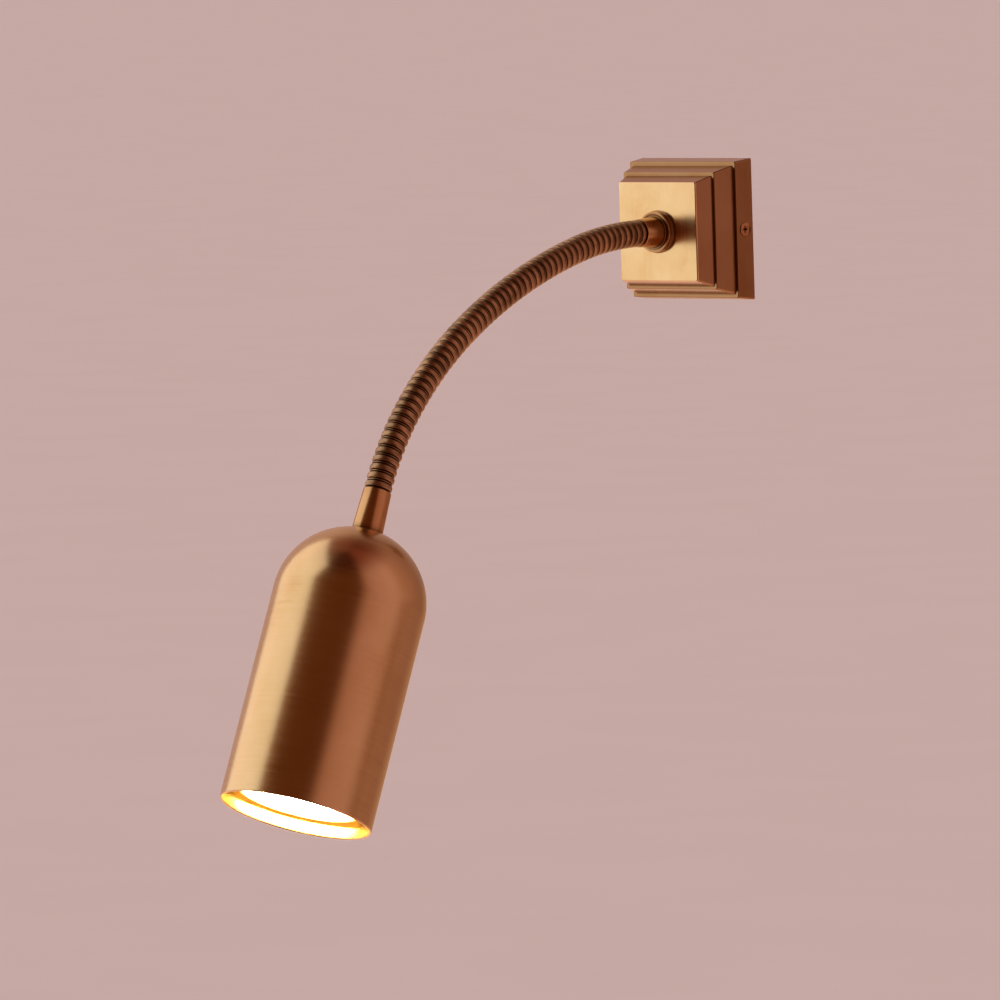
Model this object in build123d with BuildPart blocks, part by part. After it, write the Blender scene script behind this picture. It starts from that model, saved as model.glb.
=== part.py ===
"""Bedside wall reading lamp: a stepped square rose, a wound gooseneck and a bullet shade.

Millimetres. The wall is the plane Y = 0, the lamp reaches out towards -Y, and +Z is up. The origin
is the centre of the rose on the wall. "Depth" is always the distance out from the wall.
"""

from build123d import *
import math
import os

os.makedirs("parts", exist_ok=True)

# ---------------------------------------------------------------- driving dimensions
# rose cover: three square tiers, each flaring a little towards the wall
cover_wall_width = 58.6
back_tier_flare = 1.1
back_tier_depth = 9.2
mid_tier_step = 1.7
mid_tier_flare = 2.3
mid_tier_depth = 9.1
front_tier_step = 1.4
front_tier_flare = 2.3
front_tier_depth = 7.9
cover_wall = 1.6
cover_face_wall = 2.0
cover_corner_round = 0.7
cover_edge_round = 0.35

# wall bracket: a pressed steel plate with two ears that the cover is screwed to
bracket_thickness = 1.5
bracket_height = 34.0
bracket_corner_radius = 3.0
bracket_ear_height = 10.0
bracket_ear_reach = 7.0
ear_to_cover_gap = 0.3
wall_slot_spacing = 38.0
wall_slot_length = 8.0
wall_slot_width = 4.5
cable_hole_diameter = 14.0
cable_hole_height = 8.0

# countersunk screws through the cover's two sides
cover_screw_diameter = 3.0
cover_screw_head_diameter = 5.6
cover_screw_head_height = 1.7
cover_screw_length = 6.0
cover_screw_depth = 4.5
recess_width = 0.7
recess_span = 2.8
recess_depth = 1.0

# terminal block: three brass tubes in a moulded strip
terminal_pitch = 8.0
terminal_ways = 3
terminal_length = 12.0
terminal_base_height = 6.0
terminal_total_height = 12.0
terminal_tower_width = 6.4
terminal_tube_diameter = 4.0
terminal_tube_bore = 2.6
terminal_screw_diameter = 2.5
terminal_screw_pitch = 6.0
terminal_screw_length = 4.6
terminal_drop = 10.0
terminal_edge_round = 1.0
terminal_tower_round = 0.8
terminal_peg_diameter = 2.5
terminal_peg_spare = 0.2
terminal_tube_end_gap = 0.5

# earth screw on the bracket
earth_screw_diameter = 4.0
earth_screw_head_diameter = 8.0
earth_screw_head_height = 2.4
earth_screw_inset = 9.4
earth_height = 11.0
earth_tag_thickness = 0.6
shade_tag_diameter = 16.0

# threaded tube, nuts and washers at both ends of the neck
nipple_diameter = 10.0
nipple_bore = 7.0
nipple_clearance = 0.2
thread_play = 0.03
nut_across_flats = 14.0
nut_thickness = 3.0
lock_washer_diameter = 15.0
lock_washer_thickness = 0.8
lock_washer_teeth = 12
lock_washer_tooth_length = 1.6
lock_washer_tooth_gap = 1.2
nut_edge_chamfer = 0.3
nipple_edge_chamfer = 0.3
nipple_in_ferrule = 5.3
nipple_end_spare = 2.4

# collar and ferrules
collar_diameter = 17.0
collar_thickness = 1.4
ferrule_flange_thickness = 1.5
collar_edge = 0.4
base_ferrule_length = 10.2
shade_ferrule_length = 17.5
ferrule_tip_diameter = 11.5
ferrule_base_diameter = 12.8
ferrule_edge = 0.35
socket_depth = 5.0
socket_play = 0.04
socket_end_gap = 0.2

# gooseneck: ribs of the outer winding along a chain of tangent arcs
rib_pitch = 3.55
rib_diameter = 11.2
groove_diameter = 9.8
groove_width = 1.5
rib_slope = 0.25
neck_bore = 6.6
root_ribs = 3
link_ribs = 4
tip_ribs = 2
link_count = 13
stretch_turns = (13.5, 8.5, 10.0, 14.5, 19.5)

# bullet shade
shade_diameter = 62.0
shade_length = 119.5
shade_wall = 1.2
shade_seat_diameter = 13.2
shade_top_thickness = 2.4
shade_lip_edge = 0.35

# lamp hanger, holder and its contacts
hanger_thickness = 1.2
hanger_width = 12.0
hanger_span = 33.0
hanger_top_span = 18.0
hanger_shoulder = 11.0
hanger_foot = 7.0
hanger_bend_radius = 1.5
holder_past_leg = 0.5
holder_width = 19.0
holder_height = 14.0
holder_floor = 3.0
holder_pocket_diameter = 16.6
holder_pocket_height = 7.0
holder_barrier = 2.2
holder_screw_inset = 4.5
holder_screw_diameter = 3.0
holder_screw_length = 6.5
holder_screw_head_diameter = 5.4
holder_screw_head_height = 1.8
holder_edge = 0.8
contact_thickness = 0.4
contact_width = 3.6
contact_bend_radius = 0.6
contact_to_pin_gap = 0.15
contact_to_roof_gap = 0.3
contact_to_wall_gap = 0.9
contact_tongue_reach = 2.4
contact_foot_reach = 1.0

# twist-and-lock reflector lamp
lamp_diameter = 50.0
lamp_ring_width = 1.7
lamp_recess = 5.7
lamp_height = 46.5
lamp_neck_diameter = 25.0
lamp_neck_height = 11.0
lamp_wall = 1.6
lamp_waist_diameter = 37.4
lamp_waist_height = 24.0
lamp_base_edge = 0.8
lamp_bowl_in_bezel = 0.3
lamp_bezel_lip = 0.4
lamp_bezel_edge = 0.3
lamp_bezel_height = 6.0
lamp_lens_thickness = 1.6
lamp_seat_gap = 0.3
pin_spacing = 10.0
pin_diameter = 3.0
pin_head_diameter = 4.8
pin_head_height = 2.4
pin_play = 0.2
pin_head_edge = 0.5
lamp_twist = 30.0

# flex and its cores
flex_diameter = 5.0
core_diameter = 1.8
core_spread = 1.3
flex_end_depth = 14.5
flex_in_shade = 11.0
core_bend_radius = 2.2
core_loop_height = 2.5
core_in_tube = 4.0
core_straight = 1.8

# ---------------------------------------------------------------- places worked out from them
back_tier_front_width = cover_wall_width - 2 * back_tier_flare
mid_tier_back_width = back_tier_front_width - 2 * mid_tier_step
mid_tier_front_width = mid_tier_back_width - 2 * mid_tier_flare
front_tier_back_width = mid_tier_front_width - 2 * front_tier_step
front_tier_front_width = front_tier_back_width - 2 * front_tier_flare
step_mid = back_tier_depth
step_front = back_tier_depth + mid_tier_depth
cover_depth = step_front + front_tier_depth
nipple_radius = nipple_diameter / 2
nipple_hole_radius = nipple_radius + nipple_clearance
collar_front = cover_depth + collar_thickness
flange_front = collar_front + ferrule_flange_thickness
neck_start = flange_front + base_ferrule_length
rib_count = root_ribs + link_count * link_ribs + tip_ribs
neck_length = rib_count * rib_pitch
stretch_length = neck_length / len(stretch_turns)
OUT = (0, -1, 0)


def along_neck(s):
    """Place and heading on the neck's centreline, s mm from its start: (y, z, heading in radians).

    The heading is 0 straight out from the wall and grows as the neck turns down. Before the start
    and past the end the line runs straight.
    """
    y, z, heading = -neck_start, 0.0, 0.0
    left = s
    if s <= 0:
        return y - s, z, heading
    for turn in stretch_turns:
        run = min(left, stretch_length)
        radius = stretch_length / math.radians(turn)
        after = heading + run / radius
        y -= radius * (math.sin(after) - math.sin(heading))
        z -= radius * (math.cos(heading) - math.cos(after))
        heading = after
        left -= run
        if left <= 0:
            return y, z, heading
    return y - left * math.cos(heading), z - left * math.sin(heading), heading


def neck_plane(s):
    """Plane square to the neck at s, its X axis kept on the row's X axis."""
    y, z, heading = along_neck(s)
    return Plane(
        origin=(0, y, z),
        x_dir=(1, 0, 0),
        z_dir=(0, -math.cos(heading), -math.sin(heading)),
    )


# The shade hangs from the end of its ferrule: local X across, local Y down the shade's axis.
shade_y, shade_z, shade_heading = along_neck(neck_length + shade_ferrule_length)
shade_down = (0, -math.cos(shade_heading), -math.sin(shade_heading))
shade_top = (0, shade_y, shade_z)
shade_axis = Axis(shade_top, shade_down)
shade_section = Plane(
    origin=shade_top,
    x_dir=(1, 0, 0),
    z_dir=(0, math.sin(shade_heading), -math.cos(shade_heading)),
)


def shade_plane(down):
    """Plane square to the shade's axis, down mm below the top of the shade, facing the rim."""
    return Plane(origin=shade_top, x_dir=(1, 0, 0), z_dir=shade_down).offset(down)


def square_at(depth, width):
    """A square outline, centred on the rose, at a depth."""
    with BuildSketch(Plane.XZ.offset(depth)) as outline:
        Rectangle(width, width)
    return outline.sketch


def save(piece, name):
    """Label a finished piece and write it to its own STEP file."""
    piece.part.label = name
    export_step(piece.part, f"parts/{name}.step")


# ---------------------------------------------------------------- rose
# Each tier is hollow behind, and the wall stays under every step.
outer_tiers = (
    (0, cover_wall_width, step_mid, back_tier_front_width),
    (step_mid, mid_tier_back_width, step_front, mid_tier_front_width),
    (step_front, front_tier_back_width, cover_depth, front_tier_front_width),
)
hollow_depths = (0, step_mid - cover_wall, step_front - cover_wall, cover_depth - cover_face_wall)
with BuildPart() as rose_cover:
    for near, near_width, far, far_width in outer_tiers:
        loft([square_at(near, near_width), square_at(far, far_width)], ruled=True)
    corner_edges = rose_cover.edges().filter_by(lambda e: (e @ 1 - e @ 0).Y ** 2 > cover_corner_round)
    fillet(corner_edges, cover_corner_round)
    front_edges = ShapeList()
    for _, _, far, far_width in outer_tiers:
        on_front = rose_cover.edges().filter_by_position(Axis.Y, -far - thread_play, -far + thread_play)
        rim_half = far_width / 2 - cover_corner_round
        front_edges += on_front.filter_by(lambda e: max(abs((e @ 0.5).X), abs((e @ 0.5).Z)) > rim_half)
    fillet(front_edges, cover_edge_round)
    # a cove at the foot of the two upper tiers takes all of the step but its rounded edge
    for tier, step, flare, depth in (
        (1, mid_tier_step, mid_tier_flare, mid_tier_depth),
        (2, front_tier_step, front_tier_flare, front_tier_depth),
    ):
        near, near_width, _, _ = outer_tiers[tier]
        at_step = rose_cover.edges().filter_by_position(Axis.Y, -near - thread_play, -near + thread_play)
        foot_edges = at_step.filter_by(
            lambda e: abs(max(abs((e @ 0.5).X), abs((e @ 0.5).Z)) - near_width / 2) < cover_corner_round / 2
        )
        cove_angle = math.pi / 4 + math.atan2(flare, depth) / 2
        fillet(foot_edges, (step - cover_edge_round) * math.tan(cove_angle))
    for tier, (_, near_width, _, far_width) in enumerate(outer_tiers):
        loft(
            [
                square_at(hollow_depths[tier], near_width - 2 * cover_wall),
                square_at(hollow_depths[tier + 1], far_width - 2 * cover_wall),
            ],
            ruled=True,
            mode=Mode.SUBTRACT,
        )
    with BuildSketch(Plane.XZ.offset(cover_depth)):
        Circle(nipple_hole_radius)
    extrude(amount=-2 * cover_face_wall, mode=Mode.SUBTRACT)
    # countersunk holes for the side screws
    screw_seat = cover_wall_width / 2 - back_tier_flare * cover_screw_depth / back_tier_depth
    head_cone = cover_screw_head_diameter / 2 + 2 * thread_play
    head_taper = (cover_screw_head_diameter - cover_screw_diameter) / 2 / cover_screw_head_height
    countersink_angle = 2 * math.degrees(math.atan(head_taper))
    for side in (1, -1):
        face = Plane(
            origin=(side * screw_seat, -cover_screw_depth, 0),
            x_dir=(0, 1, 0),
            z_dir=(side, 0, 0),
        )
        with Locations(face):
            CounterSinkHole(
                cover_screw_diameter / 2 + nipple_clearance,
                head_cone,
                depth=2 * cover_wall,
                counter_sink_angle=countersink_angle,
            )
save(rose_cover, "rose_cover")

# The ears stand just inside the cover's walls, at the depth of its side screws.
hollow_narrowing = back_tier_flare * bracket_ear_reach / hollow_depths[1]
hollow_at_ear_tip = cover_wall_width / 2 - cover_wall - hollow_narrowing
ear_outside = hollow_at_ear_tip - ear_to_cover_gap
bracket_width = 2 * ear_outside
earth_across = ear_outside - earth_screw_inset
with BuildPart() as wall_bracket:
    with BuildSketch(Plane.XZ):
        RectangleRounded(bracket_width, bracket_height, bracket_corner_radius)
        with Locations((0, cable_hole_height)):
            Circle(cable_hole_diameter / 2, mode=Mode.SUBTRACT)
        with GridLocations(wall_slot_spacing, 0, 2, 1):
            SlotOverall(wall_slot_length, wall_slot_width, mode=Mode.SUBTRACT)
        with Locations((earth_across, earth_height)):
            Circle(earth_screw_diameter / 2 + thread_play, mode=Mode.SUBTRACT)
        with Locations((0, -terminal_drop)):
            with GridLocations(terminal_pitch, 0, terminal_ways - 1, 1):
                Circle(terminal_peg_diameter / 2 + thread_play, mode=Mode.SUBTRACT)
    extrude(amount=bracket_thickness)
    for side in (1, -1):
        with BuildSketch(Plane.XZ):
            with Locations((side * (ear_outside - bracket_thickness / 2), 0)):
                Rectangle(bracket_thickness, bracket_ear_height)
        extrude(amount=bracket_ear_reach)
        ear_face = Plane(
            origin=(side * ear_outside, -cover_screw_depth, 0),
            x_dir=(0, 1, 0),
            z_dir=(side, 0, 0),
        )
        with Locations(ear_face):
            Hole(cover_screw_diameter / 2 + thread_play, depth=2 * bracket_thickness)
save(wall_bracket, "wall_bracket")

# Cross recessed countersunk screws, one from each side.
with BuildPart() as cover_screws:
    for side in (1, -1):
        head = Plane(
            origin=(side * screw_seat, -cover_screw_depth, 0),
            x_dir=(0, 1, 0),
            z_dir=(-side, 0, 0),
        )
        with BuildSketch(head):
            Circle(cover_screw_head_diameter / 2)
        with BuildSketch(head.offset(cover_screw_head_height)):
            Circle(cover_screw_diameter / 2)
        loft(ruled=True)
        with BuildSketch(head):
            Circle(cover_screw_diameter / 2)
        extrude(amount=cover_screw_length)
        with BuildSketch(head):
            Rectangle(recess_span, recess_width)
            Rectangle(recess_width, recess_span)
        extrude(amount=recess_depth, mode=Mode.SUBTRACT)
save(cover_screws, "cover_screws")

# Moulded strip: a base with three towers, bored lengthwise for the tubes. Two pegs under the base
# are pressed into the bracket.
tube_depth = bracket_thickness + terminal_base_height
way_offset = (terminal_ways - 1) / 2
way_places = [((way - way_offset) * terminal_pitch, -terminal_drop) for way in range(terminal_ways)]
with BuildPart() as terminal_block:
    with BuildSketch(Plane.XZ.offset(bracket_thickness)):
        with Locations((0, -terminal_drop)):
            RectangleRounded(terminal_pitch * terminal_ways, terminal_length, terminal_edge_round)
    extrude(amount=terminal_base_height)
    with BuildSketch(Plane.XZ.offset(bracket_thickness)):
        with Locations(way_places):
            RectangleRounded(terminal_tower_width, terminal_length, terminal_tower_round)
    extrude(amount=terminal_total_height)
    for across, height in way_places:
        bore = Plane(origin=(across, -tube_depth, height), x_dir=(1, 0, 0), z_dir=(0, 0, 1))
        with BuildSketch(bore.offset(-terminal_length)):
            Circle(terminal_tube_diameter / 2 + thread_play)
        extrude(amount=2 * terminal_length, mode=Mode.SUBTRACT)
    with BuildSketch(Plane.XZ.offset(bracket_thickness + terminal_total_height)):
        with Locations(way_places):
            with GridLocations(0, terminal_screw_pitch, 1, 2):
                Circle(terminal_screw_diameter / 2 + nipple_clearance)
    extrude(amount=-terminal_base_height, mode=Mode.SUBTRACT)
    with BuildSketch(Plane.XZ.offset(terminal_peg_spare)):
        with Locations((0, -terminal_drop)):
            with GridLocations(terminal_pitch, 0, terminal_ways - 1, 1):
                Circle(terminal_peg_diameter / 2)
    extrude(amount=bracket_thickness)
save(terminal_block, "terminal_block")

with BuildPart() as terminal_tubes:
    for across, height in way_places:
        bore = Plane(origin=(across, -tube_depth, height), x_dir=(1, 0, 0), z_dir=(0, 0, 1))
        with BuildSketch(bore.offset(terminal_tube_end_gap - terminal_length / 2)):
            Circle(terminal_tube_diameter / 2)
            Circle(terminal_tube_bore / 2, mode=Mode.SUBTRACT)
        extrude(amount=terminal_length - 2 * terminal_tube_end_gap)
    with BuildSketch(Plane.XZ.offset(tube_depth)):
        with Locations(way_places):
            with GridLocations(0, terminal_screw_pitch, 1, 2):
                Circle(terminal_screw_diameter / 2 + thread_play)
    extrude(amount=terminal_tube_diameter, mode=Mode.SUBTRACT)
save(terminal_tubes, "terminal_tubes")

# Slotted clamp screws, two to each tube, run down far enough to pinch a core.
clamp_tip = tube_depth + core_diameter / 2 + thread_play
with BuildPart() as terminal_screws:
    with BuildSketch(Plane.XZ.offset(clamp_tip)):
        with Locations(way_places):
            with GridLocations(0, terminal_screw_pitch, 1, 2):
                Circle(terminal_screw_diameter / 2)
    extrude(amount=terminal_screw_length)
    with BuildSketch(Plane.XZ.offset(clamp_tip + terminal_screw_length)):
        with Locations(way_places):
            with GridLocations(0, terminal_screw_pitch, 1, 2):
                Rectangle(terminal_screw_diameter, recess_width)
    extrude(amount=-recess_depth, mode=Mode.SUBTRACT)
save(terminal_screws, "terminal_screws")

# Earth tag under a pan-head screw, for the wall cable's earth.
earth_plane = Plane.XZ.offset(bracket_thickness)
with BuildPart() as earth_tag:
    with BuildSketch(earth_plane):
        with Locations((earth_across, earth_height)):
            Circle(earth_screw_head_diameter / 2)
        with Locations((earth_across - earth_screw_diameter, earth_height)):
            Rectangle(2 * earth_screw_diameter, earth_screw_diameter)
        with Locations((earth_across, earth_height)):
            Circle(earth_screw_diameter / 2 + nipple_clearance, mode=Mode.SUBTRACT)
    extrude(amount=earth_tag_thickness)
save(earth_tag, "earth_tag")

with BuildPart() as earth_screw:
    with BuildSketch(earth_plane.offset(earth_tag_thickness)):
        with Locations((earth_across, earth_height)):
            Circle(earth_screw_head_diameter / 2)
    extrude(amount=earth_screw_head_height)
    chamfer(earth_screw.edges().group_by(Axis.Y)[0], earth_screw_head_height / 3)
    with BuildSketch(earth_plane.offset(earth_tag_thickness)):
        with Locations((earth_across, earth_height)):
            Circle(earth_screw_diameter / 2)
    extrude(amount=-bracket_thickness - earth_tag_thickness + thread_play)
    with BuildSketch(earth_plane.offset(earth_tag_thickness + earth_screw_head_height)):
        with Locations((earth_across, earth_height)):
            Rectangle(recess_span, recess_width)
            Rectangle(recess_width, recess_span)
    extrude(amount=-recess_depth, mode=Mode.SUBTRACT)
save(earth_screw, "earth_screw")


# ---------------------------------------------------------------- fixings at both ends of the neck
def threaded_tube(plane, length):
    """Hollow threaded tube that runs along the plane's normal, with chamfered ends."""
    with BuildPart() as tube:
        with BuildSketch(plane):
            Circle(nipple_radius - thread_play)
        extrude(amount=length)
        chamfer(tube.edges().filter_by(GeomType.CIRCLE), nipple_edge_chamfer)
        with BuildSketch(plane):
            Circle(nipple_bore / 2)
        extrude(amount=length, mode=Mode.SUBTRACT)
    return tube


def toothed_washer(plane):
    """Shake-proof washer with outward teeth."""
    with BuildPart() as washer:
        with BuildSketch(plane):
            Circle(lock_washer_diameter / 2)
            with PolarLocations(lock_washer_diameter / 2, lock_washer_teeth):
                Rectangle(2 * lock_washer_tooth_length, lock_washer_tooth_gap, mode=Mode.SUBTRACT)
            Circle(nipple_hole_radius, mode=Mode.SUBTRACT)
        extrude(amount=lock_washer_thickness)
    return washer


def thin_nut(plane):
    """Thin hexagon nut, its thread played free of the tube."""
    with BuildPart() as nut:
        with BuildSketch(plane):
            RegularPolygon(nut_across_flats / 2, 6, major_radius=False)
        extrude(amount=nut_thickness)
        chamfer(nut.edges().group_by(SortBy.LENGTH)[-1], nut_edge_chamfer)
        with BuildSketch(plane):
            Circle(nipple_radius + thread_play)
        extrude(amount=nut_thickness, mode=Mode.SUBTRACT)
    return nut


def ferrule(section, axis, length, flange):
    """Tapered ferrule from its base (local Y = 0) out to the neck, with a flange if one is asked.

    The base is bored for the threaded tube and the tip for the end of the neck.
    """
    base = ferrule_base_diameter / 2
    tip = ferrule_tip_diameter / 2
    total = flange + length
    with BuildPart() as body:
        with BuildSketch(section):
            with BuildLine():
                if flange:
                    Polyline((0, 0), (collar_diameter / 2, 0), (collar_diameter / 2, flange), (base, flange))
                else:
                    Line((0, 0), (base, 0))
                Polyline((base, flange), (tip, total), (0, total), (0, 0))
            make_face()
        revolve(axis=axis)
        chamfer(body.edges().filter_by(GeomType.CIRCLE).sort_by(SortBy.RADIUS)[:1], ferrule_edge)
        if flange:
            chamfer(body.edges().filter_by(GeomType.CIRCLE).sort_by(SortBy.RADIUS)[-2:], collar_edge)
        with BuildSketch(section):
            with BuildLine():
                Polyline(
                    (0, 0),
                    (nipple_radius, 0),
                    (nipple_radius, nipple_in_ferrule + socket_end_gap),
                    (neck_bore / 2, nipple_in_ferrule + socket_end_gap),
                    (neck_bore / 2, total - socket_depth - socket_end_gap),
                    (groove_diameter / 2 + socket_play, total - socket_depth - socket_end_gap),
                    (groove_diameter / 2 + socket_play, total),
                    (0, total),
                    (0, 0),
                )
            make_face()
        revolve(axis=axis, mode=Mode.SUBTRACT)
    return body


base_section = Plane(origin=(0, -collar_front, 0), x_dir=(1, 0, 0), z_dir=(0, 0, -1))
base_axis = Axis((0, -collar_front, 0), OUT)

with BuildPart() as collar_ring:
    with BuildSketch(Plane.XZ.offset(cover_depth)):
        Circle(collar_diameter / 2)
    extrude(amount=collar_thickness)
    chamfer(collar_ring.edges().sort_by(Axis.Y)[:1], collar_edge)
    with BuildSketch(Plane.XZ.offset(cover_depth)):
        Circle(nipple_hole_radius)
    extrude(amount=collar_thickness, mode=Mode.SUBTRACT)
save(collar_ring, "collar_ring")

save(ferrule(base_section, base_axis, base_ferrule_length, ferrule_flange_thickness), "base_ferrule")

cover_inside = cover_depth - cover_face_wall
base_nut_back = cover_inside - lock_washer_thickness - nut_thickness
base_nipple_back = base_nut_back - nipple_end_spare
base_nipple_length = collar_front + nipple_in_ferrule - base_nipple_back
save(threaded_tube(Plane.XZ.offset(base_nipple_back), base_nipple_length), "base_nipple")
save(toothed_washer(Plane.XZ.offset(cover_inside - lock_washer_thickness)), "base_lock_washer")
save(thin_nut(Plane.XZ.offset(base_nut_back)), "base_lock_nut")


# ---------------------------------------------------------------- gooseneck
def neck_piece(first_rib, ribs, spigot_in=0.0, spigot_out=0.0):
    """A run of ribs: a ruled loft through four circles for each rib, bored through.

    Between runs the groove stays open by its full root width, so that one run can tilt against the
    next. A spigot is the plain end of the winding that sits in a ferrule.
    """
    crest = rib_diameter / 2
    root = groove_diameter / 2
    root_half = groove_width / 2 - rib_slope
    start = first_rib * rib_pitch
    end = start + ribs * rib_pitch
    stations = []
    for rib in range(ribs):
        low = start + rib * rib_pitch
        high = low + rib_pitch
        stations += [
            (low + root_half, root),
            (low + root_half + rib_slope, crest),
            (high - root_half - rib_slope, crest),
            (high - root_half, root),
        ]
    bore_from = stations[0][0]
    bore_to = stations[-1][0]
    if spigot_in:
        stations.insert(0, (start - spigot_in, root))
        bore_from = start - spigot_in
    if spigot_out:
        stations.append((end + spigot_out, root))
        bore_to = end + spigot_out
    with BuildPart() as piece:
        for s, radius in stations:
            with BuildSketch(neck_plane(s)):
                Circle(radius)
        loft(ruled=True)
        for s in (bore_from - groove_width, start, (start + end) / 2, end, bore_to + groove_width):
            with BuildSketch(neck_plane(s)):
                Circle(neck_bore / 2)
        loft(ruled=True, mode=Mode.SUBTRACT)
    return piece


save(neck_piece(0, root_ribs, spigot_in=socket_depth), "neck_root")
for link in range(1, link_count + 1):
    save(neck_piece(root_ribs + (link - 1) * link_ribs, link_ribs), f"neck_link_{link:02d}")
save(neck_piece(rib_count - tip_ribs, tip_ribs, spigot_out=socket_depth), "neck_tip")

# ---------------------------------------------------------------- shade
shade_radius = shade_diameter / 2
shade_inner = shade_radius - shade_wall
seat_radius = shade_seat_diameter / 2
dome_centre = math.sqrt(shade_radius**2 - seat_radius**2)
pad_radius = math.sqrt(shade_inner**2 - (dome_centre - shade_top_thickness) ** 2)
with BuildPart() as shade:
    with BuildSketch(shade_section):
        with BuildLine():
            Line((nipple_hole_radius, 0), (seat_radius, 0))
            RadiusArc((seat_radius, 0), (shade_radius, dome_centre), -shade_radius)
            Line((shade_radius, dome_centre), (shade_radius, shade_length))
            Line((shade_radius, shade_length), (shade_inner, shade_length))
            Line((shade_inner, shade_length), (shade_inner, dome_centre))
            RadiusArc((shade_inner, dome_centre), (pad_radius, shade_top_thickness), shade_inner)
            Line((pad_radius, shade_top_thickness), (nipple_hole_radius, shade_top_thickness))
            Line((nipple_hole_radius, shade_top_thickness), (nipple_hole_radius, 0))
        make_face()
    revolve(axis=shade_axis)
    rim_edges = shade.edges().filter_by(GeomType.CIRCLE).sort_by(
        lambda e: -(e @ 0 - Vector(shade_top)).dot(Vector(shade_down))
    )[:2]
    chamfer(rim_edges, shade_lip_edge)
save(shade, "shade")

ferrule_section = Plane(
    origin=shade_top,
    x_dir=(1, 0, 0),
    z_dir=(0, -math.sin(shade_heading), math.cos(shade_heading)),
)
up_shade = Axis(shade_top, tuple(-c for c in shade_down))
save(ferrule(ferrule_section, up_shade, shade_ferrule_length, 0.0), "shade_ferrule")

washer_top = shade_top_thickness
hanger_top = washer_top + lock_washer_thickness
tag_top = hanger_top + hanger_thickness
nut_top = tag_top + earth_tag_thickness
shade_nipple_end = nut_top + nut_thickness + nipple_end_spare
save(
    threaded_tube(shade_plane(-nipple_in_ferrule), shade_nipple_end + nipple_in_ferrule),
    "shade_nipple",
)
save(toothed_washer(shade_plane(washer_top)), "shade_lock_washer")
save(thin_nut(shade_plane(nut_top)), "shade_lock_nut")

# ---------------------------------------------------------------- lamp hanger and holder
lens_face = shade_length - lamp_recess
lamp_seat = lens_face - lamp_height
holder_bottom = lamp_seat - lamp_seat_gap
holder_top = holder_bottom - holder_height
foot_top = holder_top - hanger_thickness

# A strap under the dome: its legs slope out past the nut and stand on the holder's ends.
half = hanger_span / 2
holder_screw_spacing = hanger_span - 2 * holder_screw_inset
with BuildPart() as lamp_hanger:
    strap_top = hanger_top + hanger_thickness / 2
    with BuildSketch(shade_section):
        with BuildLine():
            FilletPolyline(
                (-half + hanger_foot, foot_top + hanger_thickness / 2),
                (-half, foot_top + hanger_thickness / 2),
                (-half, strap_top + hanger_shoulder),
                (-hanger_top_span / 2, strap_top),
                (hanger_top_span / 2, strap_top),
                (half, strap_top + hanger_shoulder),
                (half, foot_top + hanger_thickness / 2),
                (half - hanger_foot, foot_top + hanger_thickness / 2),
                radius=hanger_bend_radius,
            )
            offset(amount=hanger_thickness / 2, side=Side.BOTH)
        make_face()
    extrude(amount=hanger_width / 2, both=True)
    with BuildSketch(shade_plane(0)):
        Circle(nipple_hole_radius)
    extrude(amount=tag_top + 1, mode=Mode.SUBTRACT)
    with BuildSketch(shade_plane(foot_top - 1)):
        with GridLocations(holder_screw_spacing, 0, 2, 1):
            Circle(holder_screw_diameter / 2 + nipple_clearance)
    extrude(amount=hanger_thickness + 2, mode=Mode.SUBTRACT)
save(lamp_hanger, "lamp_hanger")

# Tag washer that the earth core is soldered to, clamped under the nut.
with BuildPart() as shade_earth_tag:
    with BuildSketch(shade_plane(tag_top)):
        Circle(shade_tag_diameter / 2)
        with Locations((0, -(nipple_radius + earth_screw_diameter))):
            Rectangle(earth_screw_diameter, 2 * earth_screw_diameter)
        Circle(nipple_hole_radius, mode=Mode.SUBTRACT)
    extrude(amount=earth_tag_thickness)
save(shade_earth_tag, "shade_earth_tag")

# Glazed body with a pocket above its floor: the pins drop through the round end of each keyhole
# and lock under the floor when the lamp is turned.
pin_circle = pin_spacing / 2
slot_radius = pin_diameter / 2 + pin_play
entry_radius = pin_head_diameter / 2 + pin_play
lead_hole = core_diameter / 2 + pin_play
holder_length = hanger_span + 2 * holder_past_leg
with BuildPart() as lampholder:
    with BuildSketch(shade_plane(holder_top)):
        SlotOverall(holder_length, holder_width)
    extrude(amount=holder_height)
    chamfer(lampholder.faces().sort_by(shade_axis)[0].edges(), holder_edge)
    with BuildSketch(shade_plane(holder_bottom - holder_floor)):
        Circle(holder_pocket_diameter / 2)
        Rectangle(holder_barrier, 2 * holder_pocket_diameter, mode=Mode.SUBTRACT)
    extrude(amount=-holder_pocket_height, mode=Mode.SUBTRACT)
    with BuildSketch(shade_plane(holder_bottom - holder_floor - 1)):
        with PolarLocations(pin_circle, 2, start_angle=-lamp_twist):
            Circle(entry_radius)
        for start in (0, 180):
            slot_path = CenterArc((0, 0), pin_circle, start - lamp_twist, lamp_twist, mode=Mode.PRIVATE)
            SlotArc(slot_path, 2 * slot_radius)
        with GridLocations(pin_spacing, 0, 2, 1):
            Circle(slot_radius)
    extrude(amount=holder_floor + 2, mode=Mode.SUBTRACT)
    with BuildSketch(shade_plane(holder_top)):
        with GridLocations(pin_spacing, 0, 2, 1):
            Circle(lead_hole)
    extrude(amount=holder_height - holder_floor - 1, mode=Mode.SUBTRACT)
    with BuildSketch(shade_plane(holder_top)):
        with GridLocations(holder_screw_spacing, 0, 2, 1):
            Circle(holder_screw_diameter / 2 + thread_play)
    extrude(amount=holder_screw_length, mode=Mode.SUBTRACT)
save(lampholder, "lampholder")

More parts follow.
